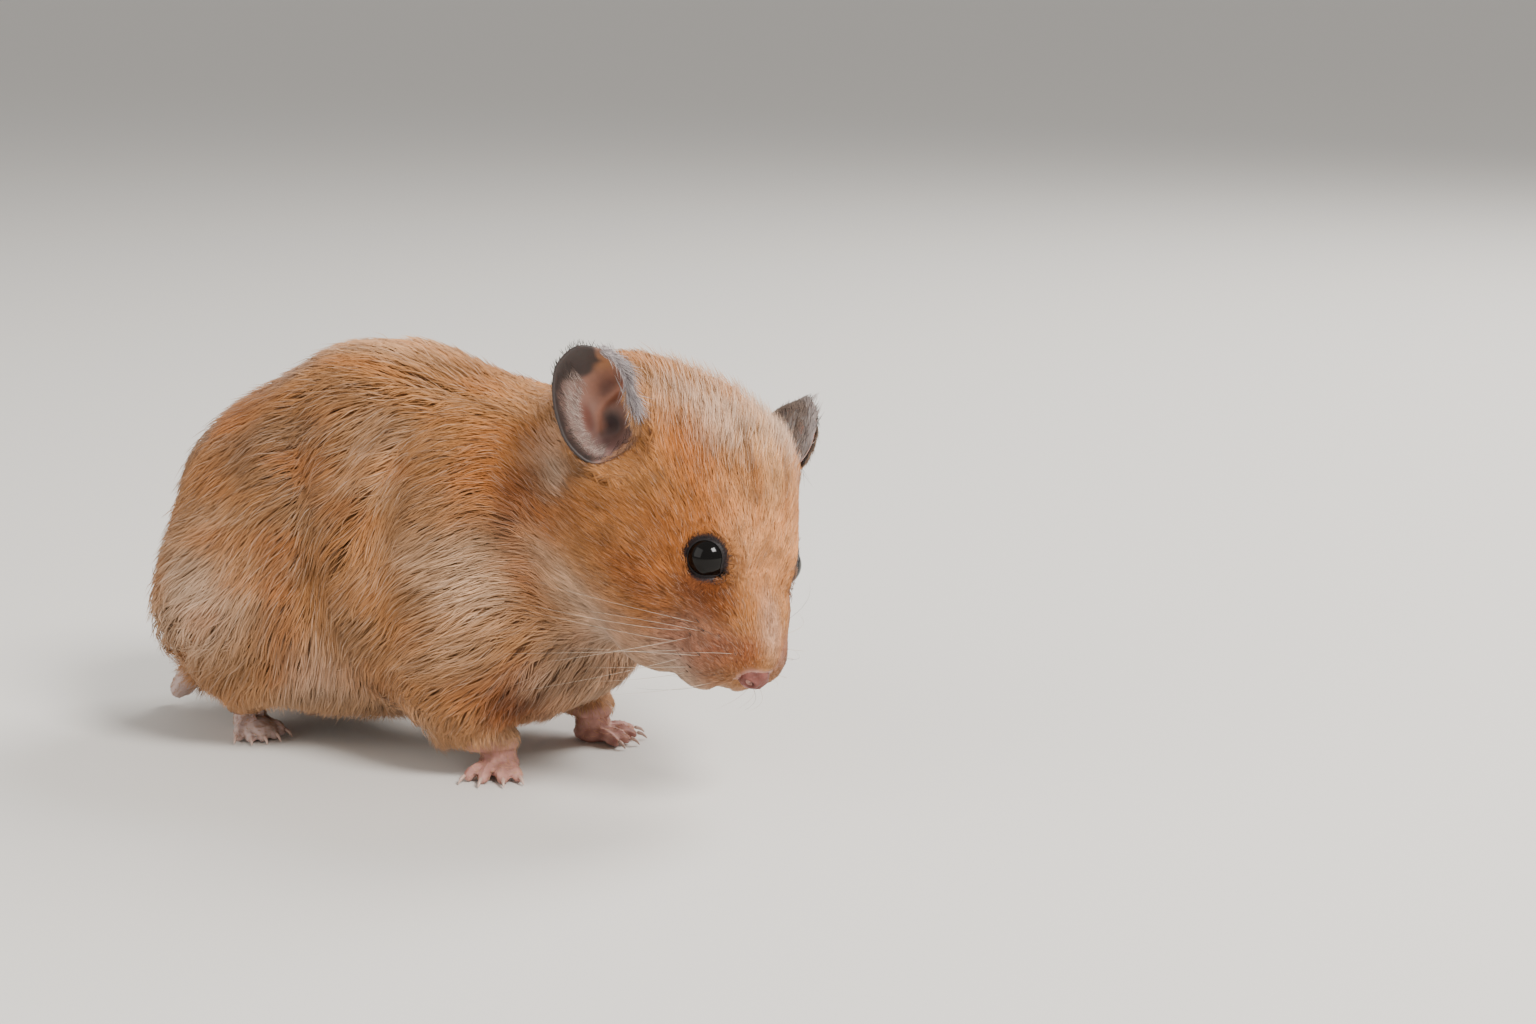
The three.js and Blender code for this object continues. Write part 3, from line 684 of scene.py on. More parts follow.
def finish_material(finish):
    name, roughness, noise_range, bumps = FINISHES[finish]
    material, shader = new_material(name, roughness, SOCKETS.get(finish, {}))
    tree = material.node_tree
    noise = tinted(tree, shader, noise_range, GRAIN.get(finish, (1, 1, 1)))
    if bumps:
        bump = tree.nodes.new("ShaderNodeBump")
        set_inputs(bump, dict(zip(("Strength", "Distance"), bumps)))
        tree.links.new(noise.outputs["Fac"], bump.inputs["Height"])
        tree.links.new(bump.outputs["Normal"], shader.inputs["Normal"])
    return material


MATERIALS = {finish: finish_material(finish) for finish in FINISHES}

# ---------------------------------------------------------------- the skin

VOXEL = 0.42  # the size of the skin's triangles
CLOSE_GAPS = 0.25  # each solid grows by this, so that the thin cuts between them close
NOT_FLESH = ("eye_", "ear_", "claw")


def flesh_nodes():
    return [name for name in sorted(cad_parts) if not any(word in name for word in NOT_FLESH)]


def joined_solids():
    """The flesh nodes grown into one another, as one Blender object."""
    whole = bmesh.new()
    for name in flesh_nodes():
        part = bmesh.new()
        part.from_mesh(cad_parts[name].data)
        bmesh.ops.remove_doubles(part, verts=part.verts, dist=1e-6)
        part.normal_update()
        for vert in part.verts:
            vert.co += vert.normal * CLOSE_GAPS * MM
        grown = bpy.data.meshes.new("grown")
        part.to_mesh(grown)
        whole.from_mesh(grown)
        part.free()
        bpy.data.meshes.remove(grown)
    mesh = bpy.data.meshes.new("remeshed")
    whole.to_mesh(mesh)
    whole.free()
    return placed("remeshed", mesh)


def remeshed():
    """Points, triangles and edges of the flesh as one closed surface."""
    piece = joined_solids()
    bpy.context.view_layer.objects.active = piece
    piece.select_set(True)
    piece.data.remesh_voxel_size = VOXEL * MM
    bpy.ops.object.voxel_remesh()
    mesh = piece.data
    points = np.empty(3 * len(mesh.vertices))
    mesh.vertices.foreach_get("co", points)
    edges = np.empty(2 * len(mesh.edges), np.int32)
    mesh.edges.foreach_get("vertices", edges)
    mesh.calc_loop_triangles()
    faces = np.empty(3 * len(mesh.loop_triangles), np.int32)
    mesh.loop_triangles.foreach_get("vertices", faces)
    bpy.data.objects.remove(piece)
    return points.reshape(-1, 3) / MM - SHIFT, faces.reshape(-1, 3), edges.reshape(-1, 2)


def largest_part(points, faces, edges):
    """Drops closed scraps, such as a hollow left between two solids."""
    label = np.arange(len(points))
    while True:
        low = np.minimum(label[edges[:, 0]], label[edges[:, 1]])
        fresh = label.copy()
        np.minimum.at(fresh, edges[:, 0], low)
        np.minimum.at(fresh, edges[:, 1], low)
        fresh = fresh[fresh]
        if (fresh == label).all():
            break
        label = fresh
    kept = label == np.bincount(label).argmax()
    number = np.cumsum(kept) - 1
    return points[kept], number[faces[kept[faces[:, 0]]]], number[edges[kept[edges[:, 0]]]]


def neighbours_mean(values, edges):
    """The mean of the values at each point's neighbours."""
    a, b = edges.T
    size = len(values)
    count = np.bincount(a, minlength=size) + np.bincount(b, minlength=size)
    total = [np.bincount(a, column[b], size) + np.bincount(b, column[a], size) for column in values.T]
    return np.stack(total, 1) / count[:, None]


def smoothed(points, edges, share, rounds):
    """Evens a surface out where share is above 0, without shrinking it much."""
    for step in range(2 * rounds):
        pull = 0.55 if step % 2 == 0 else -0.57
        points = points + (neighbours_mean(points, edges) - points) * (pull * share)[:, None]
    return points


def point_normals(points, faces):
    corners = points[faces]
    across = np.cross(corners[:, 1] - corners[:, 0], corners[:, 2] - corners[:, 0])
    normals = np.zeros_like(points)
    for k in range(3):
        for axis in range(3):
            normals[:, axis] += np.bincount(faces[:, k], across[:, axis], len(points))
    return unit(normals)


EYE_OPEN = 2.62  # half the width of the eye between its lids
THIN_SHARE = 0.36  # the coat takes no more than this of a thin part
THICK = 20  # flesh deeper than this counts as this deep
ROOM_ROUNDS = 40  # in which that limit is evened out
FOLDS_FROM = 18  # along the body: folds of the skin are evened out from here on
DRAW_STEPS = 6  # in which the skin is drawn in
WRINKLE = 0.06  # height of the wrinkles of bare skin


def make_skin():
    """The skin: the solids' surface drawn in by the coat's depth, a little at a time. Returns its points,
    its triangles and how deep the coat may lie at each point."""
    points, faces, edges = largest_part(*remeshed())
    points = behind_ears(points)
    _, depth, _, _ = guides(points)
    bare = bareness(points)
    firm = np.clip(0.25 + depth / 2.5, 0, 1) * (1 - 0.75 * bare) * away_from_ears(points)
    firm = np.maximum(firm, round_eyes(points))
    points = smoothed(points, edges, firm, 6)
    crease, _ = creased(points)
    room = coat_room(points, faces, edges)
    depth = np.minimum(depth * (1 - bare) + crease * 0.8 + CLOSE_GAPS, room)
    start = point_normals(points, faces)
    for _ in range(DRAW_STEPS):
        normals = point_normals(points, faces)
        for _ in range(3):
            normals = unit(neighbours_mean(normals, edges))
        points = points - normals * (depth / DRAW_STEPS)[:, None]
        points = smoothed(points, edges, firm, 2)
    points = unfolded(points, faces, edges, start)
    wrinkles = bareness(points) * WRINKLE * ripple(points, 0.9, 31)
    points = points + point_normals(points, faces) * wrinkles[:, None]
    points[:, 2] = np.maximum(points[:, 2], 0)
    return under_lids(points), faces, room


def coat_room(points, faces, edges):
    """How deep the coat may lie at most, so that thin parts keep some flesh."""
    most = THIN_SHARE * np.minimum(flesh_behind(points, faces), THICK)
    for _ in range(ROOM_ROUNDS):
        most = neighbours_mean(most[:, None], edges)[:, 0]
    return most + CLOSE_GAPS


def unfolded(points, faces, edges, start):
    """Evens out places that were drawn in past each other, where the surface now faces the wrong way."""
    for _ in range(30):
        folded = ((point_normals(points, faces) * start).sum(1) < 0.1) & (points[:, 0] > FOLDS_FROM)
        share = folded.astype(float)
        for _ in range(6):
            share = np.maximum(share, neighbours_mean(share[:, None], edges)[:, 0])
        pull = np.clip(3 * share, 0, 0.8)[:, None]
        points = points + (neighbours_mean(points, edges) - points) * pull
    return points


def under_lids(points):
    """Draws the skin back where the lids, made below, lie over it."""
    for side in SIDES:
        _, ahead, across = off_eye(points, side)
        back = 0.8 * smoothstep(EYE_OPEN + 1.3, EYE_OPEN + 0.7, across) * (ahead > 0) * (ahead < 6)
        points = points - eye_look(side) * back[:, None]
    return points


def flesh_behind(points, faces):
    """How much flesh there is straight behind each place of a closed surface."""
    tree = BVHTree.FromPolygons(points.tolist(), faces.tolist())
    normals = point_normals(points, faces)
    found = np.full(len(points), 100.0)
    for number, (point, normal) in enumerate(zip(points.tolist(), normals.tolist())):
        inward = -Vector(normal)
        distance = tree.ray_cast(Vector(point) + inward * 0.05, inward)[3]
        if distance is not None:
            found[number] = distance
    return found


def round_eyes(points):
    """1 at the lids of the solids, which the lids made below take the place of."""
    gap = np.minimum(*(off_eye(points, side)[0] for side in SIDES))
    return smoothstep(EYE_RADIUS + 3, EYE_RADIUS + 1.5, gap)


SKIN_POINTS, SKIN_FACES, SKIN_ROOM = make_skin()
SKIN_NORMALS = point_normals(SKIN_POINTS, SKIN_FACES)
SKIN_TREE = BVHTree.FromPolygons(SKIN_POINTS.tolist(), SKIN_FACES.tolist())
HIND_SKIN = linear("#c9b2aa")
LIPS = linear("#6b3430")
EAR_FOOT = linear("#a4837a")


def skin_colours(points):
    """The markings, darker under deep fur, with bare skin on feet, tail and lips, and dark round the eyes."""
    _, depth, _, _ = guides(points)
    under = markings(points) * mix(0.8, 0.7, smoothstep(0.5, 3, depth))
    bare_skin = mix(PINK, ROSE, 0.35 + 0.35 * ripple(points, 1.6, 41))
    hind = smoothstep(14, 6, points[:, 0]) * smoothstep(12, 8, points[:, 2])
    bare_skin = mix(bare_skin, HIND_SKIN, 0.85 * hind)
    colours = mix(under, bare_skin, bareness(points))
    colours = mix(colours, LIPS, 0.85 * smoothstep(0.9, 0.3, off_mouth(into_head(points))))
    for side in SIDES:
        gap, _, _ = off_eye(points, side)
        colours = mix(colours, SOOT, smoothstep(EYE_RADIUS + 1.2, EYE_RADIUS + 0.3, gap))
    near_ear = (0.99 - away_from_ears(points)) / (0.99 - LEAST_BY_EARS)
    return mix(colours, EAR_FOOT, np.clip(0.4 * near_ear, 0, 1))


skin = make_mesh("skin", SKIN_POINTS, SKIN_FACES, "skin", skin_colours(SKIN_POINTS))
settle(skin, "coat", *(name for name in flesh_nodes() if name != "nose"))

# ---------------------------------------------------------------- tufts

PATCH = 0.003  # side of a tuft's patch of OFBake
OWN_NORMAL = 0.18  # how far a tuft is shaded by its own roundness, and not as the coat around it


def spindles(lines, radii, seed):
    """Closed three-sided tufts along lines of places, with radii at all places but the first and last.
    Returns points, triangles, and each corner's place on its tuft: around it and along it, from 0 to 1."""
    count, stations, _ = lines.shape
    draw = np.random.default_rng(seed)
    along = unit(lines[:, 2:] - lines[:, :-2])
    first = unit(np.cross(along, draw.normal(size=(count, 1, 3))))
    second = np.cross(along, first)
    angles = np.arange(3) * 2 * math.pi / 3
    spokes = first[:, :, None] * np.cos(angles)[:, None] + second[:, :, None] * np.sin(angles)[:, None]
    rings = lines[:, 1:-1, None] + spokes * radii[:, :, None, None]
    inner = stations - 2
    points = np.concatenate([lines[:, :1], rings.reshape(count, 3 * inner, 3), lines[:, -1:]], 1)
    tip = 1 + 3 * inner
    faces, around, height = [], [], []
    for j in range(3):
        k = (j + 1) % 3
        low, high = j / 3, (j + 1) / 3
        faces.append((0, 1 + k, 1 + j))
        around.append(((low + high) / 2, high, low))
        height.append((0, 1, 1))
        for ring in range(inner - 1):
            a, b = 1 + 3 * ring + j, 1 + 3 * ring + k
            faces += [(a, b, b + 3), (a, b + 3, a + 3)]
            around += [(low, high, high), (low, high, low)]
            height += [(ring + 1, ring + 1, ring + 2), (ring + 1, ring + 2, ring + 2)]
        faces.append((tip, tip - 3 + j, tip - 3 + k))
        around.append(((low + high) / 2, low, high))
        height.append((stations - 1, stations - 2, stations - 2))
    per_tuft = points.shape[1]
    numbers = np.arange(count)[:, None, None] * per_tuft + np.array(faces)
    corner = np.stack([np.array(around), np.array(height) / (stations - 1)], -1)
    return points, numbers.reshape(-1, 3), corner.reshape(-1, 2)


def tuft_piece(name, lines, radii, root_uv, normals, colours, seed):
    """A piece of the coat. Normals and colours are given at each station of each tuft."""
    points, faces, corner = spindles(lines, radii, seed)
    count, stations, _ = lines.shape
    station_of = np.r_[0, np.repeat(np.arange(1, stations - 1), 3), stations - 1]
    own = unit(points - lines[:, station_of])
    shade = unit(OWN_NORMAL * own + (1 - OWN_NORMAL) * normals[:, station_of])
    uv = root_uv[:, None] + (np.tile(corner, (count, 1)).reshape(count, -1, 2) - 0.5) * PATCH
    colours = colours[:, station_of].reshape(-1, 3)
    piece = make_mesh(name, points.reshape(-1, 3), faces, "coat", colours, shade.reshape(-1, 3), uv)
    settle(piece, "coat")


def scattered(points, faces, normals, density, seed):
    """Roots spread over a mesh, with the normal there."""
    draw = np.random.default_rng(seed)
    corners = points[faces]
    across = np.cross(corners[:, 1] - corners[:, 0], corners[:, 2] - corners[:, 0])
    wanted = np.cumsum(np.linalg.norm(across, axis=1) / 2 * density)
    count = int(wanted[-1])
    pick = np.searchsorted(wanted, (np.arange(count) + draw.uniform(size=count)) * wanted[-1] / count)
    pick = np.minimum(pick, len(faces) - 1)
    share = draw.dirichlet((1, 1, 1), count)
    roots = (corners[pick] * share[..., None]).sum(1)
    return roots, unit((normals[faces[pick]] * share[..., None]).sum(1))


def room_at(points):
    """How deep the coat may lie at places of the skin."""
    found = [SKIN_TREE.find_nearest(Vector(point))[2] for point in points.tolist()]
    return SKIN_ROOM[SKIN_FACES[found, 0]]


def on_skin(points):
    """The nearest places of the skin, and its normals there."""
    found = [SKIN_TREE.find_nearest(Vector(point)) for point in points.tolist()]
    return np.array([hit[0] for hit in found]), np.array([hit[1] for hit in found])


COVER = 8.2  # how many tufts lie over any place of the trunk
STRAY = 0.15  # how far each tuft lies off the guides' way
SWAY = 0.15  # how far whole swathes do
RELIEF = 0.10  # how much the coat's depth swells and sinks
CLUMP_SIZE = 24  # tufts to a lock
CLUMP_PULL = 0.26  # how far the tips of a lock are drawn together
CLUMP_MOST = 1.2  # but no tip is moved further than this
SUNK = 0.12  # depth of the roots in the skin
MIDDLE, REST = 0.42, 0.58  # shares of the length before and after the middle
GUARD_SHARE = 0.06  # of the tufts that stand out a little


def standing(roots, seed):
    """How far each tuft's tip stands out over the rest of the coat."""
    draw = np.random.default_rng(seed)
    head = into_head(roots)
    along = smoothstep(2, -6, head[:, 0]) * smoothstep(-34, -20, head[:, 0])
    crown = smoothstep(10, 15, head[:, 2]) * along
    guard = draw.uniform(size=len(roots)) < GUARD_SHARE + 0.16 * crown
    _, depth, _, _ = guides(roots)
    return guard * draw.uniform(0.25, 1.0, len(roots)) * (0.34 * depth + 2.1 * crown)


def round_ears(roots, way):
    """Turns tufts close to an ear along its rim, and says how much shorter they grow there."""
    room = np.ones(len(roots))
    for side in SIDES:
        local = into_ear(roots, side)
        outside, _, _ = past_rim(local)
        near = smoothstep(5.0, 0.8, outside) * (np.abs(local[:, 2]) < 7) * (outside > -2)
        outward = unit(local * (1, 1, 0)) @ ear_axes(side) @ HEAD_AXES.T
        inward = np.maximum(-(way * outward).sum(1), 0)
        way = unit(way + outward * (1.25 * inward * near)[:, None])
        room = room * (1 - 0.4 * near)
    return way, room


def combed(roots, normals, seed):
    """Tufts that grow from roots, lie as the guides say and end at the coat's surface: three places of each,
    the coat's normals there, its width and how far it stands out."""
    draw = np.random.default_rng(seed)
    count = len(roots)
    lie, depth, length, width = guides(roots)
    stray = draw.normal(size=(count, 3)) * STRAY
    sway = np.stack([ripple(roots, 9, seed + k) for k in range(3)], 1) * SWAY
    way, room = round_ears(roots, flat_to(lie + stray + sway, normals))
    way = flat_to(way, normals)
    length = length * draw.uniform(0.7, 1.2, count) * room
    relief = 1 + RELIEF * ripple(roots, 6.0, seed + 9)
    height = np.maximum(depth, 0.16) * relief * draw.uniform(0.8, 1.05, count)
    height = np.minimum(height, room_at(roots) + 0.1)
    lift = standing(roots, seed + 12)
    near, near_normal = on_skin(roots + way * (MIDDLE * length)[:, None])
    onward = flat_to(way, near_normal)
    far, far_normal = on_skin(near + onward * (REST * length)[:, None])
    middle = near + near_normal * (0.7 * height + 0.4 * lift)[:, None]
    tip = far + far_normal * (height + lift)[:, None]
    lines = np.stack([roots - normals * SUNK, middle, tip], 1)
    spread = width * draw.uniform(0.7, 1.15, count) * np.where(lift > 0, 0.75, 1)
    return lines, unit(np.stack([normals, near_normal, far_normal], 1)), spread, lift


def clumped(tip, roots, seed):
    """Draws the tips of neighbouring tufts together into small locks."""
    draw = np.random.default_rng(seed)
    chosen = draw.choice(len(roots), max(len(roots) // CLUMP_SIZE, 1), replace=False)
    tree = KDTree(len(chosen))
    for number, index in enumerate(chosen):
        tree.insert(Vector(roots[index]), number)
    tree.balance()
    lock = chosen[[tree.find(Vector(root))[1] for root in roots.tolist()]]
    pull = CLUMP_PULL * draw.uniform(0.3, 1.5, len(roots))
    drawn = (tip[lock] - tip) * pull[:, None]
    size = np.linalg.norm(drawn, axis=1, keepdims=True)
    return tip + drawn * np.minimum(1, CLUMP_MOST / np.maximum(size, 1e-6)), lock


def tuft_colours(places, lock, lift, seed):
    """A colour for each tuft: the marking's, varied from lock to lock and tuft to tuft."""
    draw = np.random.default_rng(seed)
    count = len(places)
    base = markings(places)
    fine = 1 + 0.9 * smoothstep(-26, -14, into_head(places)[:, 0])
    own = 1 + 0.06 * fine * draw.normal(size=count)
    lock_shade = 1 + fine * (0.065 * draw.normal(size=count))[lock]
    broad = 1 + 0.09 * ripple(places * STREAK, 2.6, seed + 1)
    base = base * np.clip(own * lock_shade * broad, 0.6, 1.5)[:, None]
    kind = draw.uniform(size=count)
    base = mix(base, PALE * 0.95, np.where(kind < 0.2, draw.uniform(0.05, 0.25, count), 0))
    base = mix(base, base * 0.5, np.where(kind > 0.95, draw.uniform(0.1, 0.4, count), 0))
    return mix(base, PALE, np.clip(lift * 0.13, 0, 0.4))


def sided(word, places):
    return np.char.add(word, np.where(places[:, 1] < 0, "right", "left"))


def region_names(roots):
    """The piece that each root belongs to."""
    head = into_head(roots)
    x, y, z = roots.T
    names = sided("coat_flank_", roots)
    names = np.where(x < 6, sided("coat_haunch_", roots), names)
    names = np.where(x > 36, sided("coat_shoulder_", roots), names)
    names = np.where(z > 50, sided("coat_back_", roots), names)
    names = np.where(z < 11, "coat_belly", names)
    face = np.where(head[:, 2] < -12, "coat_throat", sided("coat_cheek_", head))
    face = np.where((head[:, 0] > 7) & (head[:, 2] >= -12), sided("coat_muzzle_", head), face)
    face = np.where((head[:, 2] > 9) & (head[:, 0] <= 7), sided("coat_crown_", head), face)
    on_head = (head[:, 0] > -24) & (x > 50)
    near_foot = np.any([np.hypot(x - at[0], y - at[1]) < 9 for at in ANKLES.values()], 0) & (z < 9)
    return np.where(on_head, face, np.where(near_foot, "coat_legs", names))


HEAD_PIECES = ("muzzle", "crown", "cheek", "throat")


def unwrapped(roots, name):
    """Where roots lie on an unwrap of the skin's own shape, rolled off along the body, head or legs."""
    head = into_head(roots)
    if any(word in name for word in HEAD_PIECES):
        flat = np.stack([head[:, 0], 14 * np.arctan2(head[:, 1], head[:, 2] + 3)], 1)
    elif name == "coat_belly":
        flat = roots[:, :2]
    elif name == "coat_legs":
        flat = roots[:, :2] + np.stack([roots[:, 2], np.zeros(len(roots))], 1)
    else:
        flat = np.stack([roots[:, 0], 25 * np.arctan2(roots[:, 1], roots[:, 2] - 30)], 1)
    return fitted(flat)


def tuft_density(centres, normals):
    """Tufts to a square millimetre of skin."""
    _, _, length, width = guides(centres)
    density = COVER / (length * width) * np.clip(length / 3.4, 0.5, 1)
    density *= 1 - 0.65 * smoothstep(-0.5, -0.8, normals[:, 2]) * smoothstep(10, 6, centres[:, 2])
    density *= 1 - 0.93 * bareness(centres)
    head = into_head(centres)
    density *= 1 - 0.3 * smoothstep(-12, -16, head[:, 2]) * smoothstep(-26, -22, head[:, 0])
    nose = ((head - NOSE_AT) / (2.9, 3.2, 2.8)) ** 2
    density[nose.sum(1) < 1] = 0
    density[off_mouth(head) < 0.35] = 0
    density[centres[:, 2] < 1.2] = 0
    for side in SIDES:
        density[off_eye(centres, side)[0] < EYE_RADIUS + 0.25] = 0
        density[in_ear(centres, side, -0.2)] = 0
    return density


def clear_of_features(places):
    """Whether places keep off the eyes and out of the ears."""
    clear = np.ones(len(places), bool)
    for side in SIDES:
        gap, ahead, across = off_eye(places, side)
        clear &= (across > EYE_OPEN + 0.15) | (ahead < 0)
        clear &= (gap > EYE_RADIUS + 0.02) & ~in_ear(places, side, -0.4)
    return clear


TUFT_SHADES = np.array([0.78, 0.97, 1.08])  # of its colour, at a tuft's root, middle and tip
OFF_FLOOR = (0.3, 0.25)  # least heights of a tuft's middle and tip


def make_coat():
    centres = SKIN_POINTS[SKIN_FACES].mean(1)
    density = tuft_density(centres, SKIN_NORMALS[SKIN_FACES[:, 0]])
    roots, normals = scattered(SKIN_POINTS, SKIN_FACES, SKIN_NORMALS, density, SEED)
    lines, facing, width, lift = combed(roots, normals, SEED + 1)
    lines[:, 2], lock = clumped(lines[:, 2], roots, SEED + 2)
    lines[:, 1:, 2] = np.maximum(lines[:, 1:, 2], OFF_FLOOR)
    base = tuft_colours((lines[:, 1] + lines[:, 2]) / 2, lock, lift, SEED + 3)
    radii = width[:, None] / 2
    names = region_names(roots)
    clear = clear_of_features(lines[:, 1]) & clear_of_features(lines[:, 2])
    for name in sorted(set(names)):
        mine = (names == name) & clear
        parts = lines[mine], radii[mine], facing[mine], base[mine][:, None] * TUFT_SHADES[:, None]
        if not any(word in name for word in (*HEAD_PIECES, "legs", "belly")):
            parts = with_bend(*parts)
        tufts, thick, around, colours = parts
        tuft_piece(name, tufts, thick, unwrapped(roots[mine], name), around, colours, SEED)


def with_bend(lines, radii, normals, colours):
    """Gives a tuft a second ring, so that it bends smoothly."""
    root, middle, tip = lines[:, 0], lines[:, 1], lines[:, 2]
    bend = lambda t: (1 - t) ** 2 * root + 2 * t * (1 - t) * (2 * middle - (root + tip) / 2) + t**2 * tip
    fresh = np.stack([root, bend(0.34), bend(0.7), tip], 1)
    pick = lambda v: np.stack([v[:, 0], (v[:, 0] + 2 * v[:, 1]) / 3, (v[:, 1] + v[:, 2]) / 2, v[:, 2]], 1)
    return fresh, radii * (0.95, 0.8), unit(pick(normals)), pick(colours)


make_coat()

# ---------------------------------------------------------------- eyes


def make_eyes():
    points, faces = ball_grid(48, 32)
    for side in SIDES:
        places = from_head(mirrored(EYE_AT, side)) + points * EYE_RADIUS
        settle(make_mesh(f"eyeball_{side}", places, faces, "eye", linear("#0a0807")), "eye", f"eye_{side}")


def closed_rings(rings):
    """Triangles of a tube of rings, each as long, closed both ways. Rings is (around, across, 3)."""
    around, across, _ = rings.shape
    i = np.arange(around)[:, None]
    j = np.arange(across)[None]
    at = lambda di, dj: (((i + di) % around) * across + (j + dj) % across).ravel()
    near = np.stack([at(0, 0), at(1, 0), at(1, 1)], 1)
    far = np.stack([at(0, 0), at(1, 1), at(0, 1)], 1)
    return rings.reshape(-1, 3), np.concatenate([near, far])


LID_SECTORS = 64
LID_EDGE = linear("#120d0e")
LID_GREY = linear("#352c2d")
# A lid's first rings, on the eye and over the lid's edge: how far past the opening and how far over the eye.
LID_RINGS = ((-0.3, -0.35), (0, -0.08), (0.06, 0.12), (0.22, 0.19))
# How far the rings' colours go from black at the edge to the coat's.
LID_SHADES = np.array([0, 0, 0, 0.1, 0.35, 0.6, 0.8, 0.95, 1, 0])


def lid_shape(side):
    """The rings of a lid, from its edge on the eye out to the skin. Also its spokes, how near each is to the
    tear corner in front, and the two rings that the lid's hairs grow between."""
    centre, look = from_head(mirrored(EYE_AT, side)), eye_look(side)
    ahead = flat_to(HEAD_AXES[:, 0], look)
    up = np.cross(look, ahead) * SIDES[side]
    turn = np.arange(LID_SECTORS) * 2 * math.pi / LID_SECTORS
    spoke = ahead * np.cos(turn)[:, None] + up * np.sin(turn)[:, None]
    corner = np.exp(-(((turn + math.pi) % (2 * math.pi) - math.pi) / 0.30) ** 2)
    inner = EYE_OPEN + 0.5 * corner
    place = lambda out, rise: centre + spoke * out[:, None] + look * rise[:, None]
    level = lambda out: np.sqrt(np.maximum(EYE_RADIUS**2 - out**2, 0))
    on_eye = lambda out, over: place(inner + out, level(inner + out) + over)
    foot, foot_normal = on_skin(place(inner + 1.5, level(inner) * 0.7))
    skirt = foot + foot_normal * 0.4
    crest = on_eye(0.36, 0.12)
    rings = [on_eye(*ring) for ring in LID_RINGS]
    rings += [crest]
    rings += [crest * part + skirt * (1 - part) + look * 0.10 for part in (0.7, 0.35)]
    rings += [skirt + look * 0.02, foot - foot_normal * 0.2, place(inner + 0.4, level(inner) - 0.9)]
    return np.stack(rings, 1), spoke, corner, crest, skirt


def make_lid(side):
    """A dark rim that lies on the eye and runs out into the skin."""
    rings, spoke, corner, crest, skirt = lid_shape(side)
    points, faces = closed_rings(rings)
    if SIDES[side] > 0:
        faces = faces[:, ::-1]
    ring = np.arange(len(LID_SHADES))
    shade = np.maximum(LID_SHADES, 0.5 * corner[:, None] * (ring < 7) * (ring > 1)).ravel()
    colours = mix(LID_EDGE, LID_GREY, np.clip(shade * 1.6, 0, 1))
    colours = mix(colours, markings(points) * 0.6, smoothstep(0.7, 1.0, shade) * 0.7)
    settle(make_mesh(f"lid_{side}", points, faces, "skin", colours), "skin")
    make_lid_hair(side, spoke, crest, skirt)


def make_lid_hair(side, spoke, crest, skirt):
    """Short hairs that grow outwards from a lid, over its edge with the skin."""
    draw = np.random.default_rng(SEED + 50)
    count = 1800
    sector = draw.integers(0, LID_SECTORS, count)
    part = draw.uniform(size=count)[:, None]
    share = draw.uniform(-0.1, 1.3, count)[:, None]
    between = lambda rows: rows[(sector + 1) % LID_SECTORS] * part + rows[sector] * (1 - part)
    root = between(crest) * (1 - share) + between(skirt) * share
    out = unit(between(spoke))
    back = -HEAD_AXES[:, 0]
    way = unit(out * 0.8 + back * 0.45 + draw.normal(size=(count, 3)) * 0.16)
    length = draw.uniform(0.7, 1.3, count)[:, None] * (0.75 + 0.5 * share)
    _, skin_normal = on_skin(root)
    normal = unit(eye_look(side) + skin_normal * share)
    way = flat_to(way, normal)
    middle = root + way * length * 0.5 + normal * 0.28
    tip = root + way * length + normal * 0.2
    lines = np.stack([root + normal * 0.04, middle, tip], 1)
    radii = np.full((count, 1), 0.05)
    dark = mix(LID_GREY, markings(tip), smoothstep(0, 0.5, share[:, 0]))
    colours = (dark * draw.uniform(0.75, 1.2, count)[:, None])[:, None] * TUFT_SHADES[:, None]
    normals = np.repeat(normal[:, None], 3, 1)
    flat = np.stack([root @ spoke[0], root @ spoke[LID_SECTORS // 4]], 1)
    tuft_piece(f"lid_hair_{side}", lines, radii, fitted(flat), normals, colours, SEED + 51)


make_eyes()
for eye_side in SIDES:
    make_lid(eye_side)

# ---------------------------------------------------------------- nose

NOSE_SIZE = np.array([2.35, 2.65, 2.25])
NOSTRIL = np.array([0.75, 0.62, -0.12])  # on a sphere, and mirrored
NOSTRIL_SIZE = (0.3, 0.26, 0.16)


def make_nose():
    """The leathery nose, with its nostrils and the groove below them."""
    ball, faces = ball_grid(96, 72)
    dent, dark = np.zeros((2, len(ball)))
    front = ball[:, 0] > 0
    for sign in (1, -1):
        away = np.linalg.norm((ball - unit(NOSTRIL) * (1, sign, 1)) / NOSTRIL_SIZE, axis=1)
        rim = np.exp(-(((away - 1.7) / 0.6) ** 2)) * front
        dent = dent + 0.34 * np.exp(-(away**2)) - 0.05 * rim
        # Painted shade of the nostrils' openings.
        dark = np.maximum(dark, np.exp(-(away**2) * 0.9))
    groove = np.exp(-((ball[:, 1] / 0.09) ** 2)) * smoothstep(0.2, -0.3, ball[:, 2]) * front
    dent = dent + 0.10 * groove
    grain = 0.012 * ripple(ball * 10, 1.3, 61)
    head = NOSE_AT + ball * NOSE_SIZE * (1 - dent + grain)[:, None]
    colours = mix(linear("#7f4b43"), linear("#5e3028"), 0.5 + 0.4 * ripple(ball * 10, 5, 62))
    # Painted shade: the nostrils and the groove below them are darkened.
    colours = mix(colours, linear("#3c1615"), np.clip(1.2 * dark + 0.5 * groove, 0, 1))
    settle(make_mesh("nose_leather", from_head(head), faces, "skin", colours), "skin", "nose")


make_nose()

# ---------------------------------------------------------------- ears

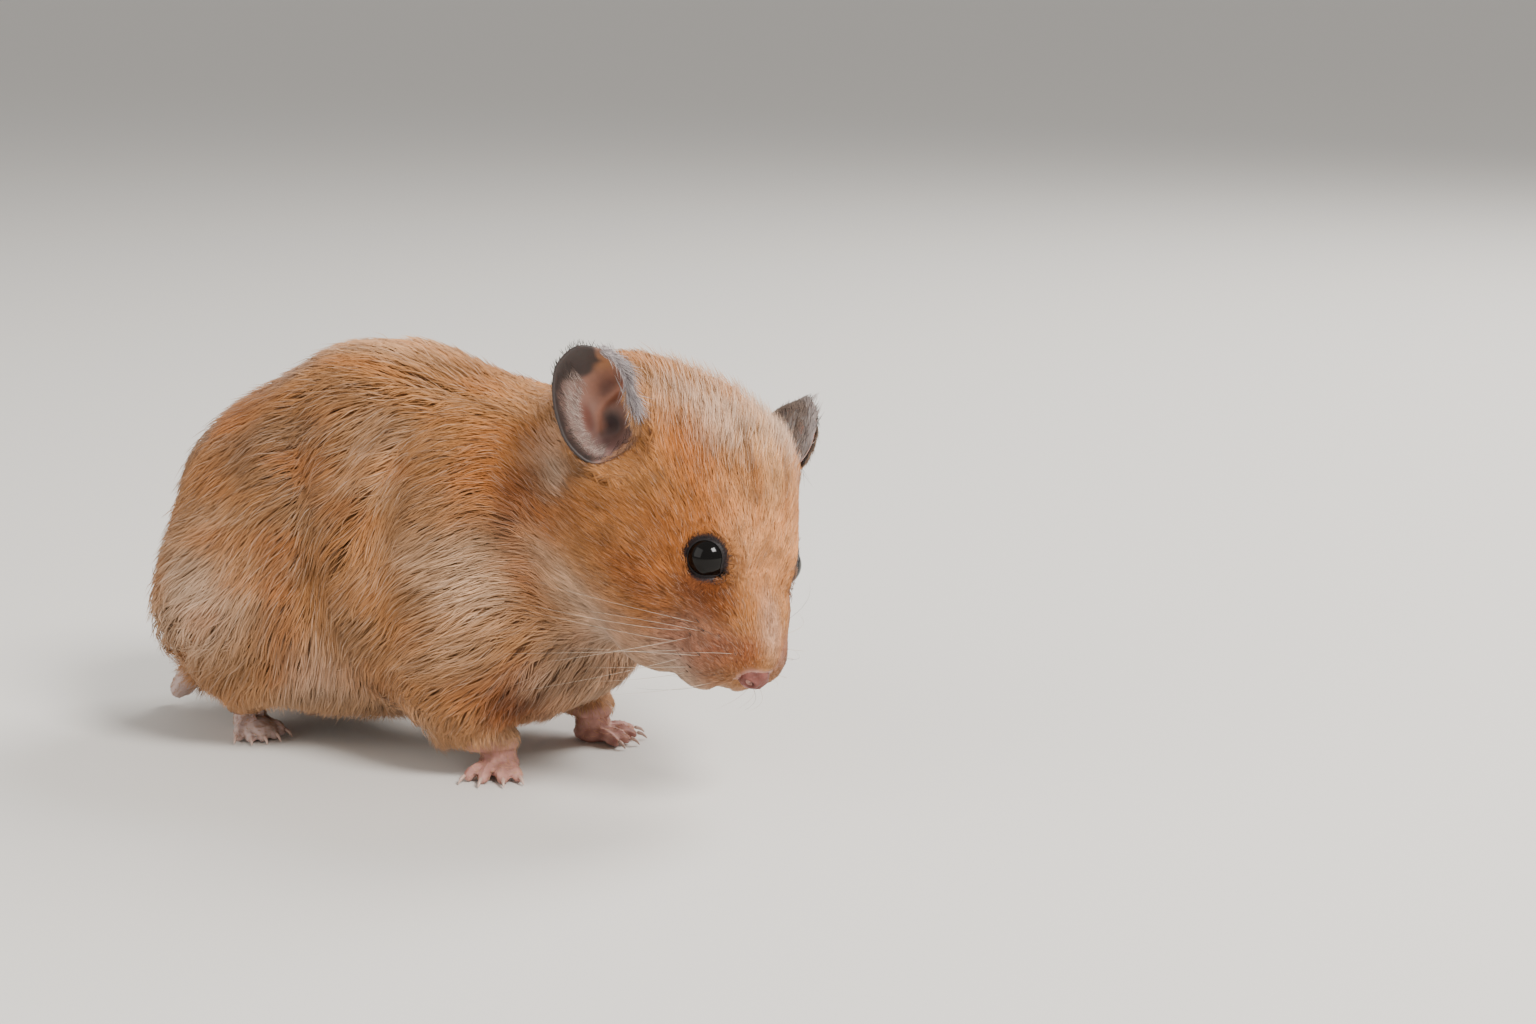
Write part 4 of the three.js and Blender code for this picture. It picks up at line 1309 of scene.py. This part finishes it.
EAR_SECTORS = 144
EAR_RINGS = 38  # inside, and as many on its back
EAR_HAIR_SHADES = np.array([0.75, 0.95, 1.1])  # of its colour, at a hair's root, middle and tip
EAR_SKIN = linear("#8c6e64")
EAR_BACK = linear("#54463f")
LILAC = linear("#b9adb0")
# Patches of the hollow: place towards the brow and up to the tip, half sizes, colour and strength. The last
# is painted shade in the canal.
EAR_PATCHES = [
    ((1.2, 6.4), (3.9, 4.6), linear("#83523d"), 0.9),
    ((2.4, 10.2), (2.4, 2.0), linear("#a16a42"), 0.85),
    ((1.8, 5.2), (1.8, 2.1), linear("#552a1c"), 0.85),
    ((3.6, 3.6), (2.2, 2.2), linear("#77442f"), 0.8),
    ((-2.7, 2.2), (1.1, 3.0), linear("#5f3023"), 0.85),
    ((-1.6, -2.4), (2.8, 1.3), linear("#8a6a66"), 0.8),
    # Painted shade: near-black over the canal.
    ((0.4, 0.3), (2.0, 2.1), linear("#260a08"), 1.0),
]
RIDGE = [(-1.5, 0.2, 0), (-0.9, 2.5, 0), (0.6, 3.8, 0), (4.0, 5.2, 0)]  # raised fold above the canal
RIDGE_HEIGHT = 0.55


def ridge_share(flat):
    plan = np.concatenate([flat[:, :2], np.zeros((len(flat), 1))], 1)
    return np.exp(-((along_line(plan, RIDGE) / 0.75) ** 2))


def ear_inside(turn, share, flat):
    """Colours of the hollow, with painted shade in its canal."""
    colours = EAR_SKIN
    for place, size, colour, strength in EAR_PATCHES:
        reach = (((flat[:, :2] - place) / size) ** 2).sum(1)
        colours = mix(colours, colour, strength * np.exp(-1.2 * reach**1.5))
    colours = mix(colours, linear("#a06a53"), 0.75 * ridge_share(flat))
    inward = (1 - share) * np.linalg.norm(rim_at(turn)[:, :2], axis=1)
    behind = smoothstep(0.05, 0.1, turn % 1) * smoothstep(0.60, 0.5, turn % 1)
    wander = 0.5 * ripple(flat, 1.6, 51)
    edge = smoothstep(2.1, 0.4, inward + wander * 0.5) * behind
    x, y = flat[:, 0], flat[:, 1]
    upper = smoothstep(7.6, 9.4, y - 0.15 * (x + 3) + wander) * smoothstep(2.3, 1.0, x + wander)
    return mix(colours, SOOT * 0.45, 0.93 * np.maximum(edge, upper))


def front_margin(turn):
    """1 along an ear's front margin, where its back is pale."""
    return smoothstep(0.54, 0.64, turn % 1) * smoothstep(0.92, 0.8, turn % 1)


def ear_outside(turn, share, side):
    """Colours of an ear's back: dark skin with a lilac front margin."""
    front = front_margin(turn)
    wide = smoothstep(0.1, 0.5, share) if side == "right" else 0.5 * smoothstep(0.8, 0.97, share)
    colours = mix(EAR_BACK, LILAC, 0.75 * front * wide)
    foot = smoothstep(0.85, 0.93, turn % 1) + smoothstep(0.08, 0.04, turn % 1)
    colours = mix(colours, EAR_SKIN, 0.9 * foot)
    return mix(colours, SOOT, 0.5 * smoothstep(0.75, 0.95, share) * (1 - front) * (1 - foot))


def make_ear(side):
    """The shell of an ear: rings up its hollow, over its edge and down its back."""
    turn = np.arange(EAR_SECTORS) / EAR_SECTORS
    full = lambda value: np.full(EAR_SECTORS, value)
    thick = lambda share: EAR["thick"] * (1 - share / 2)
    shares = np.linspace(0, 1, EAR_RINGS)
    rows, tints = [], []
    for share in shares:
        places = hollow_at(turn, full(share))
        places[:, 2] += RIDGE_HEIGHT * ridge_share(places) * math.sin(math.pi * share)
        rows.append(places)
        tints.append(ear_inside(turn, share, places))
    edge = hollow_at(turn, full(1.0))
    back = wall_at(turn, full(1.0), full(thick(1)))
    radial = unit(edge * (1, 1, 0)) * thick(1) / 2
    for angle in (45, 90, 135):
        way = math.radians(angle)
        rows.append((edge + back) / 2 + (edge - back) / 2 * math.cos(way) + radial * math.sin(way))
        tints.append(ear_inside(turn, 1.0, edge))
    for share in shares[::-1]:
        rows.append(wall_at(turn, full(share), full(thick(share))))
        tints.append(ear_outside(turn, full(share), side))
    points = np.concatenate([[[0, 0, -EAR["depth"]]], *rows, [[0, 0, -EAR["depth"] - thick(0)]]])
    # Painted shade: the floor of the canal, near-black.
    colours = np.concatenate([[linear("#34100f")], *tints, [EAR_BACK]])
    faces = strip_faces(EAR_SECTORS, len(rows))
    if SIDES[side] > 0:
        faces = faces[:, ::-1]
    ear = make_mesh(f"ear_shell_{side}", from_ear(points, side), faces, "ear", colours)
    settle(ear, "ear", f"ear_{side}")


# Hairs of an ear. Each function gives where they are rooted, as turn, share and depth in the wall, then their
# way in the ear's frame, length, colour, width and how steeply they rise.


def back_hairs(draw, side):
    """Short hairs on the back that lie towards the tip, pale along the front margin."""
    count = 2600
    turn, share = draw.uniform(size=count), np.sqrt(draw.uniform(0.05, 0.97, count))
    front = front_margin(turn)
    pale = front * (1 if side == "right" else 0.4 * smoothstep(0.7, 0.95, share))
    colour = mix(linear("#5d4d43"), linear("#d8cdcb"), pale * draw.uniform(0.4, 1, count))
    colour = mix(colour, SOOT, np.where(draw.uniform(size=count) < 0.22, 0.8, 0))
    low = smoothstep(0.5, 0.15, share) * (1 - front)
    colour = mix(colour, linear("#b07a4c"), 0.6 * low)
    out = EAR["thick"] * (1 - share / 2)
    return turn, share, out, (0.05, 1.0, -0.1), 1.5 + 1.2 * front, colour, 0.10, 0.25


def inner_hairs(draw, _):
    """Fine pale hairs that run in from the rim behind."""
    count = 1000
    turn, share = draw.uniform(0.06, 0.46, count), draw.uniform(0.55, 0.97, count)
    colour = mix(linear("#c9b4a9"), linear("#7d6a62"), draw.uniform(0, 1, count))
    colour = mix(colour, SOOT, 0.9 * smoothstep(0.8, 0.9, share))
    return turn, share, -0.03, -unit(rim_at(turn) * (1, 1, 0)), 1.7, colour, 0.05, 0.3


def margin_hairs(draw, side):
    """A band of long pale and grey hairs that runs down over the front margin."""
    count = 1700
    near = 1 if side == "right" else 0
    turn = draw.uniform(0.56, 0.80, count)
    share = draw.uniform(0.96, 1.0 + 0.08 * near, count)
    white, grey = ("#d8cccb", "#8a7f83") if near else ("#6f6259", "#4a3d35")
    colour = mix(linear(white), linear(grey), draw.uniform(0, 1, count) ** 1.3)
    colour = mix(colour, SOOT, np.where(draw.uniform(size=count) < 0.12 * near, 0.8, 0))
    along = unit(rim_at(turn + 0.02) - rim_at(turn))
    way = along + unit(rim_at(turn) * (1, 1, 0)) * (draw.uniform(0, 0.32, count) * near)[:, None]
    length = (1.3 + 2.5 * smoothstep(0.55, 0.66, turn)) * (0.5 + 0.5 * near)
    return turn, share, -0.12, way, length, colour, 0.062, 0.3


def front_fur(draw, side):
    """Fur that closes over the front of the hollow, and softens its lower edge."""
    count = 1500
    turn, share = draw.uniform(0.74, 1.06, count), draw.uniform(0.92, 1.12, count)
    coat = markings(from_ear(hollow_at(turn, share + 0.3), side))
    over = smoothstep(0.95, 0.82, turn)
    colour = mix(coat * 0.9, TAN * 0.8, 0.6 * over * draw.uniform(0.3, 1, count))
    colour = mix(colour, mix(PALE, PINK, 0.5), (1 - over) * draw.uniform(0, 0.5, count))
    way = np.array([-0.5, -0.8, 0.1]) * over[:, None] + np.array([0.2, -0.9, 0.1]) * (1 - over)[:, None]
    return turn, share, -0.1, way, 1.1 + 1.4 * over, colour, 0.08, 0.5


def canal_hairs(draw, _):
    """Dark hairs that hang out of the canal over that fur."""
    count = 34
    turn, share = draw.uniform(0.80, 1.0, count), draw.uniform(0.5, 1.0, count)
    way = np.stack([draw.normal(0.1, 0.4, count), np.full(count, -1.0), np.full(count, 0.55)], 1)
    return turn, share, -0.3, way, 4.2, linear("#1f1410"), 0.06, 0.45


EAR_HAIRS = {back_hairs: 41, inner_hairs: 42, margin_hairs: 45, front_fur: 46, canal_hairs: 43}  # with seeds


def ear_hairs(side, seed, turn, share, out, way, length, colours, width, rise):
    """Hairs of an ear as lines, radii, colours and normals."""
    draw = np.random.default_rng(seed)
    count = len(turn)
    out = np.full(count, out)
    root = wall_at(turn, share, out)
    deeper = wall_at(turn, share, out - np.sign(out + 1e-9) * 0.1)
    normal = unit(root - deeper)
    lie = flat_to(way + draw.normal(size=(count, 3)) * 0.22, normal)
    length = length * draw.uniform(0.6, 1.25, count)
    middle = root + lie * (0.5 * length)[:, None] + normal * (rise * 0.35 * length)[:, None]
    tip = root + lie * length[:, None] + normal * (rise * 0.5 * length)[:, None]
    lines = np.stack([root - normal * 0.08, middle, tip], 1)
    lines = from_ear(lines.reshape(-1, 3), side).reshape(count, 3, 3)
    facing = unit(from_ear(root + normal, side) - from_ear(root, side))
    radii = np.full((count, 1), width / 2)
    varied = colours * draw.uniform(0.75, 1.2, count)[:, None]
    return lines, radii, varied[:, None] * EAR_HAIR_SHADES[:, None], np.repeat(facing[:, None], 3, 1)


def make_ear_hair(side):
    draw = np.random.default_rng(SEED + 40)
    groups = [ear_hairs(side, SEED + seed, *grow(draw, side)) for grow, seed in EAR_HAIRS.items()]
    lines, radii, colours, normals = [np.concatenate(parts) for parts in zip(*groups)]
    root_uv = fitted(into_ear(lines[:, 0], side)[:, :2])
    tuft_piece(f"ear_hair_{side}", lines, radii, root_uv, normals, colours, SEED + 44)


for ear_side in SIDES:
    make_ear(ear_side)
    make_ear_hair(ear_side)

# ---------------------------------------------------------------- claws


def make_claws(kind, side):
    """The claws of one foot, rounded, as one piece."""
    names = [name for name in sorted(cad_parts) if name.startswith(f"{kind}_claw_{side}")]
    whole = bmesh.new()
    for name in names:
        whole.from_mesh(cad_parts[name].data)
    bmesh.ops.remove_doubles(whole, verts=whole.verts, dist=1e-6)
    mesh = bpy.data.meshes.new(f"claws_{kind}_{side}")
    whole.to_mesh(mesh)
    whole.free()
    piece = placed(mesh.name, mesh)
    smooth = piece.modifiers.new("rounded", "SUBSURF")
    smooth.levels = smooth.render_levels = 2
    bpy.context.view_layer.update()
    rounded = bpy.data.meshes.new_from_object(piece.evaluated_get(bpy.context.evaluated_depsgraph_get()))
    piece.modifiers.clear()
    piece.data = rounded
    rounded.shade_smooth()
    add_tint(rounded, linear("#b99a8c"))
    rounded.materials.clear()
    rounded.materials.append(MATERIALS["claw"])
    settle(piece, "claw", *names)


for leg_kind, leg_side in LEGS:
    make_claws(leg_kind, leg_side)

# ---------------------------------------------------------------- whiskers

WHISKER_STATIONS = 10
DARK_HAIR = linear("#33261f")
PALE_HAIR = linear("#c9b6a3")


def whisker_lines():
    """Whiskers in rows on each pad, and short stubs at their roots, with a colour for each."""
    draw = np.random.default_rng(SEED + 20)
    lines, radii, colours = [], [], []
    t = np.linspace(0, 1, WHISKER_STATIONS)[:, None]
    taper = (1 - t[1:-1, 0]) ** 0.7
    for sign in SIDES.values():
        for row, place in np.ndindex(4, 4):
            root = np.array([18.0 - 1.75 * place, sign * (4.4 + 0.8 * place), -3.2 - 1.9 * row])
            foot, normal = on_skin(from_head(root + draw.normal(size=3) * 0.25)[None])
            way = np.array([0.1 - 0.16 * place, sign, 0.02 - 0.24 * row]) + draw.normal(size=3) * 0.14
            length = draw.uniform(9, 16) + 3.2 * place
            sag = np.array([-0.75, -0.1 * sign, -0.75]) + draw.normal(size=3) * 0.16
            run = from_head(unit(way) * length * t + sag * length * 0.5 * t**2) - HEAD_AT
            lines.append(foot[0] - normal[0] * 0.1 + run)
            dark = draw.uniform() < 0.3
            radii.append((0.026 if dark else 0.03) * taper + 0.006)
            colours.append(DARK_HAIR if dark else PALE_HAIR)
            stub = from_head(unit([-1, 0.3 * sign, -0.1]) * draw.uniform(0.7, 1.4) * t) - HEAD_AT
            lines.append(foot[0] + normal[0] * 0.3 + stub)
            radii.append(0.1 * taper)
            colours.append(DARK_HAIR)
    return np.array(lines), np.array(radii), np.array(colours)


def make_whiskers():
    lines, radii, colours = whisker_lines()
    points, faces, _ = spindles(lines, radii, SEED + 21)
    tints = np.repeat(colours, points.shape[1], 0)
    settle(make_mesh("whiskers", points.reshape(-1, 3), faces, "claw", tints), "claw")


make_whiskers()

# ---------------------------------------------------------------- floor, light and camera

CAMERA_FROM_EYE = np.array([172.556, -333.312, 83.188])  # the camera's place from the right eye
CAMERA_AZIMUTH = 26.0
CAMERA_DOWN = 11.5
FLOOR_HALF = 60  # metres, so that the floor's far edge stays out of a view that looks down


def make_floor():
    mesh = bpy.data.meshes.new("floor")
    half = FLOOR_HALF
    corners = [(-half, -half, 0), (half, -half, 0), (half, half, 0), (-half, half, 0)]
    mesh.from_pydata(corners, [], [(0, 1, 2, 3)])
    material, _ = new_material("floor", 0.8, {"Base Color": (*linear("#d9d5cf"), 1)})
    mesh.materials.append(material)
    floor = placed("floor", mesh)


def area_light(name, at, size, power, colour):
    light = bpy.data.lights.new(name, "AREA")
    light.size = size
    light.energy = power
    light.color = colour
    lamp = placed(name, light)
    lamp.location = at
    lamp.rotation_euler = (Vector((0, 0, 0.03)) - Vector(at)).to_track_quat("-Z", "Y").to_euler()


def make_light():
    world = bpy.data.worlds.new("studio")
    world.use_nodes = True
    set_inputs(world.node_tree.nodes["Background"], {"Color": (1, 0.985, 0.965, 1), "Strength": 0.55})
    bpy.context.scene.world = world
    area_light("key", (0.75, -0.3, 0.8), 0.35, 17, (1, 0.975, 0.94))
    area_light("fill", (-0.5, -0.8, 0.5), 0.8, 4, (1, 0.97, 0.93))
    area_light("rim", (0.35, 0.75, 0.8), 0.6, 14, (1, 0.99, 0.97))


def make_camera():
    camera = bpy.data.cameras.new("camera")
    camera.lens = 60
    camera.sensor_width = 36
    camera.clip_start = 0.01
    view = placed("camera", camera)
    view.location = (node_middle("eye_right") + CAMERA_FROM_EYE) * MM
    view.rotation_euler = (math.radians(90 - CAMERA_DOWN), 0, math.radians(CAMERA_AZIMUTH))
    bpy.context.scene.camera = view


make_floor()
make_light()
make_camera()
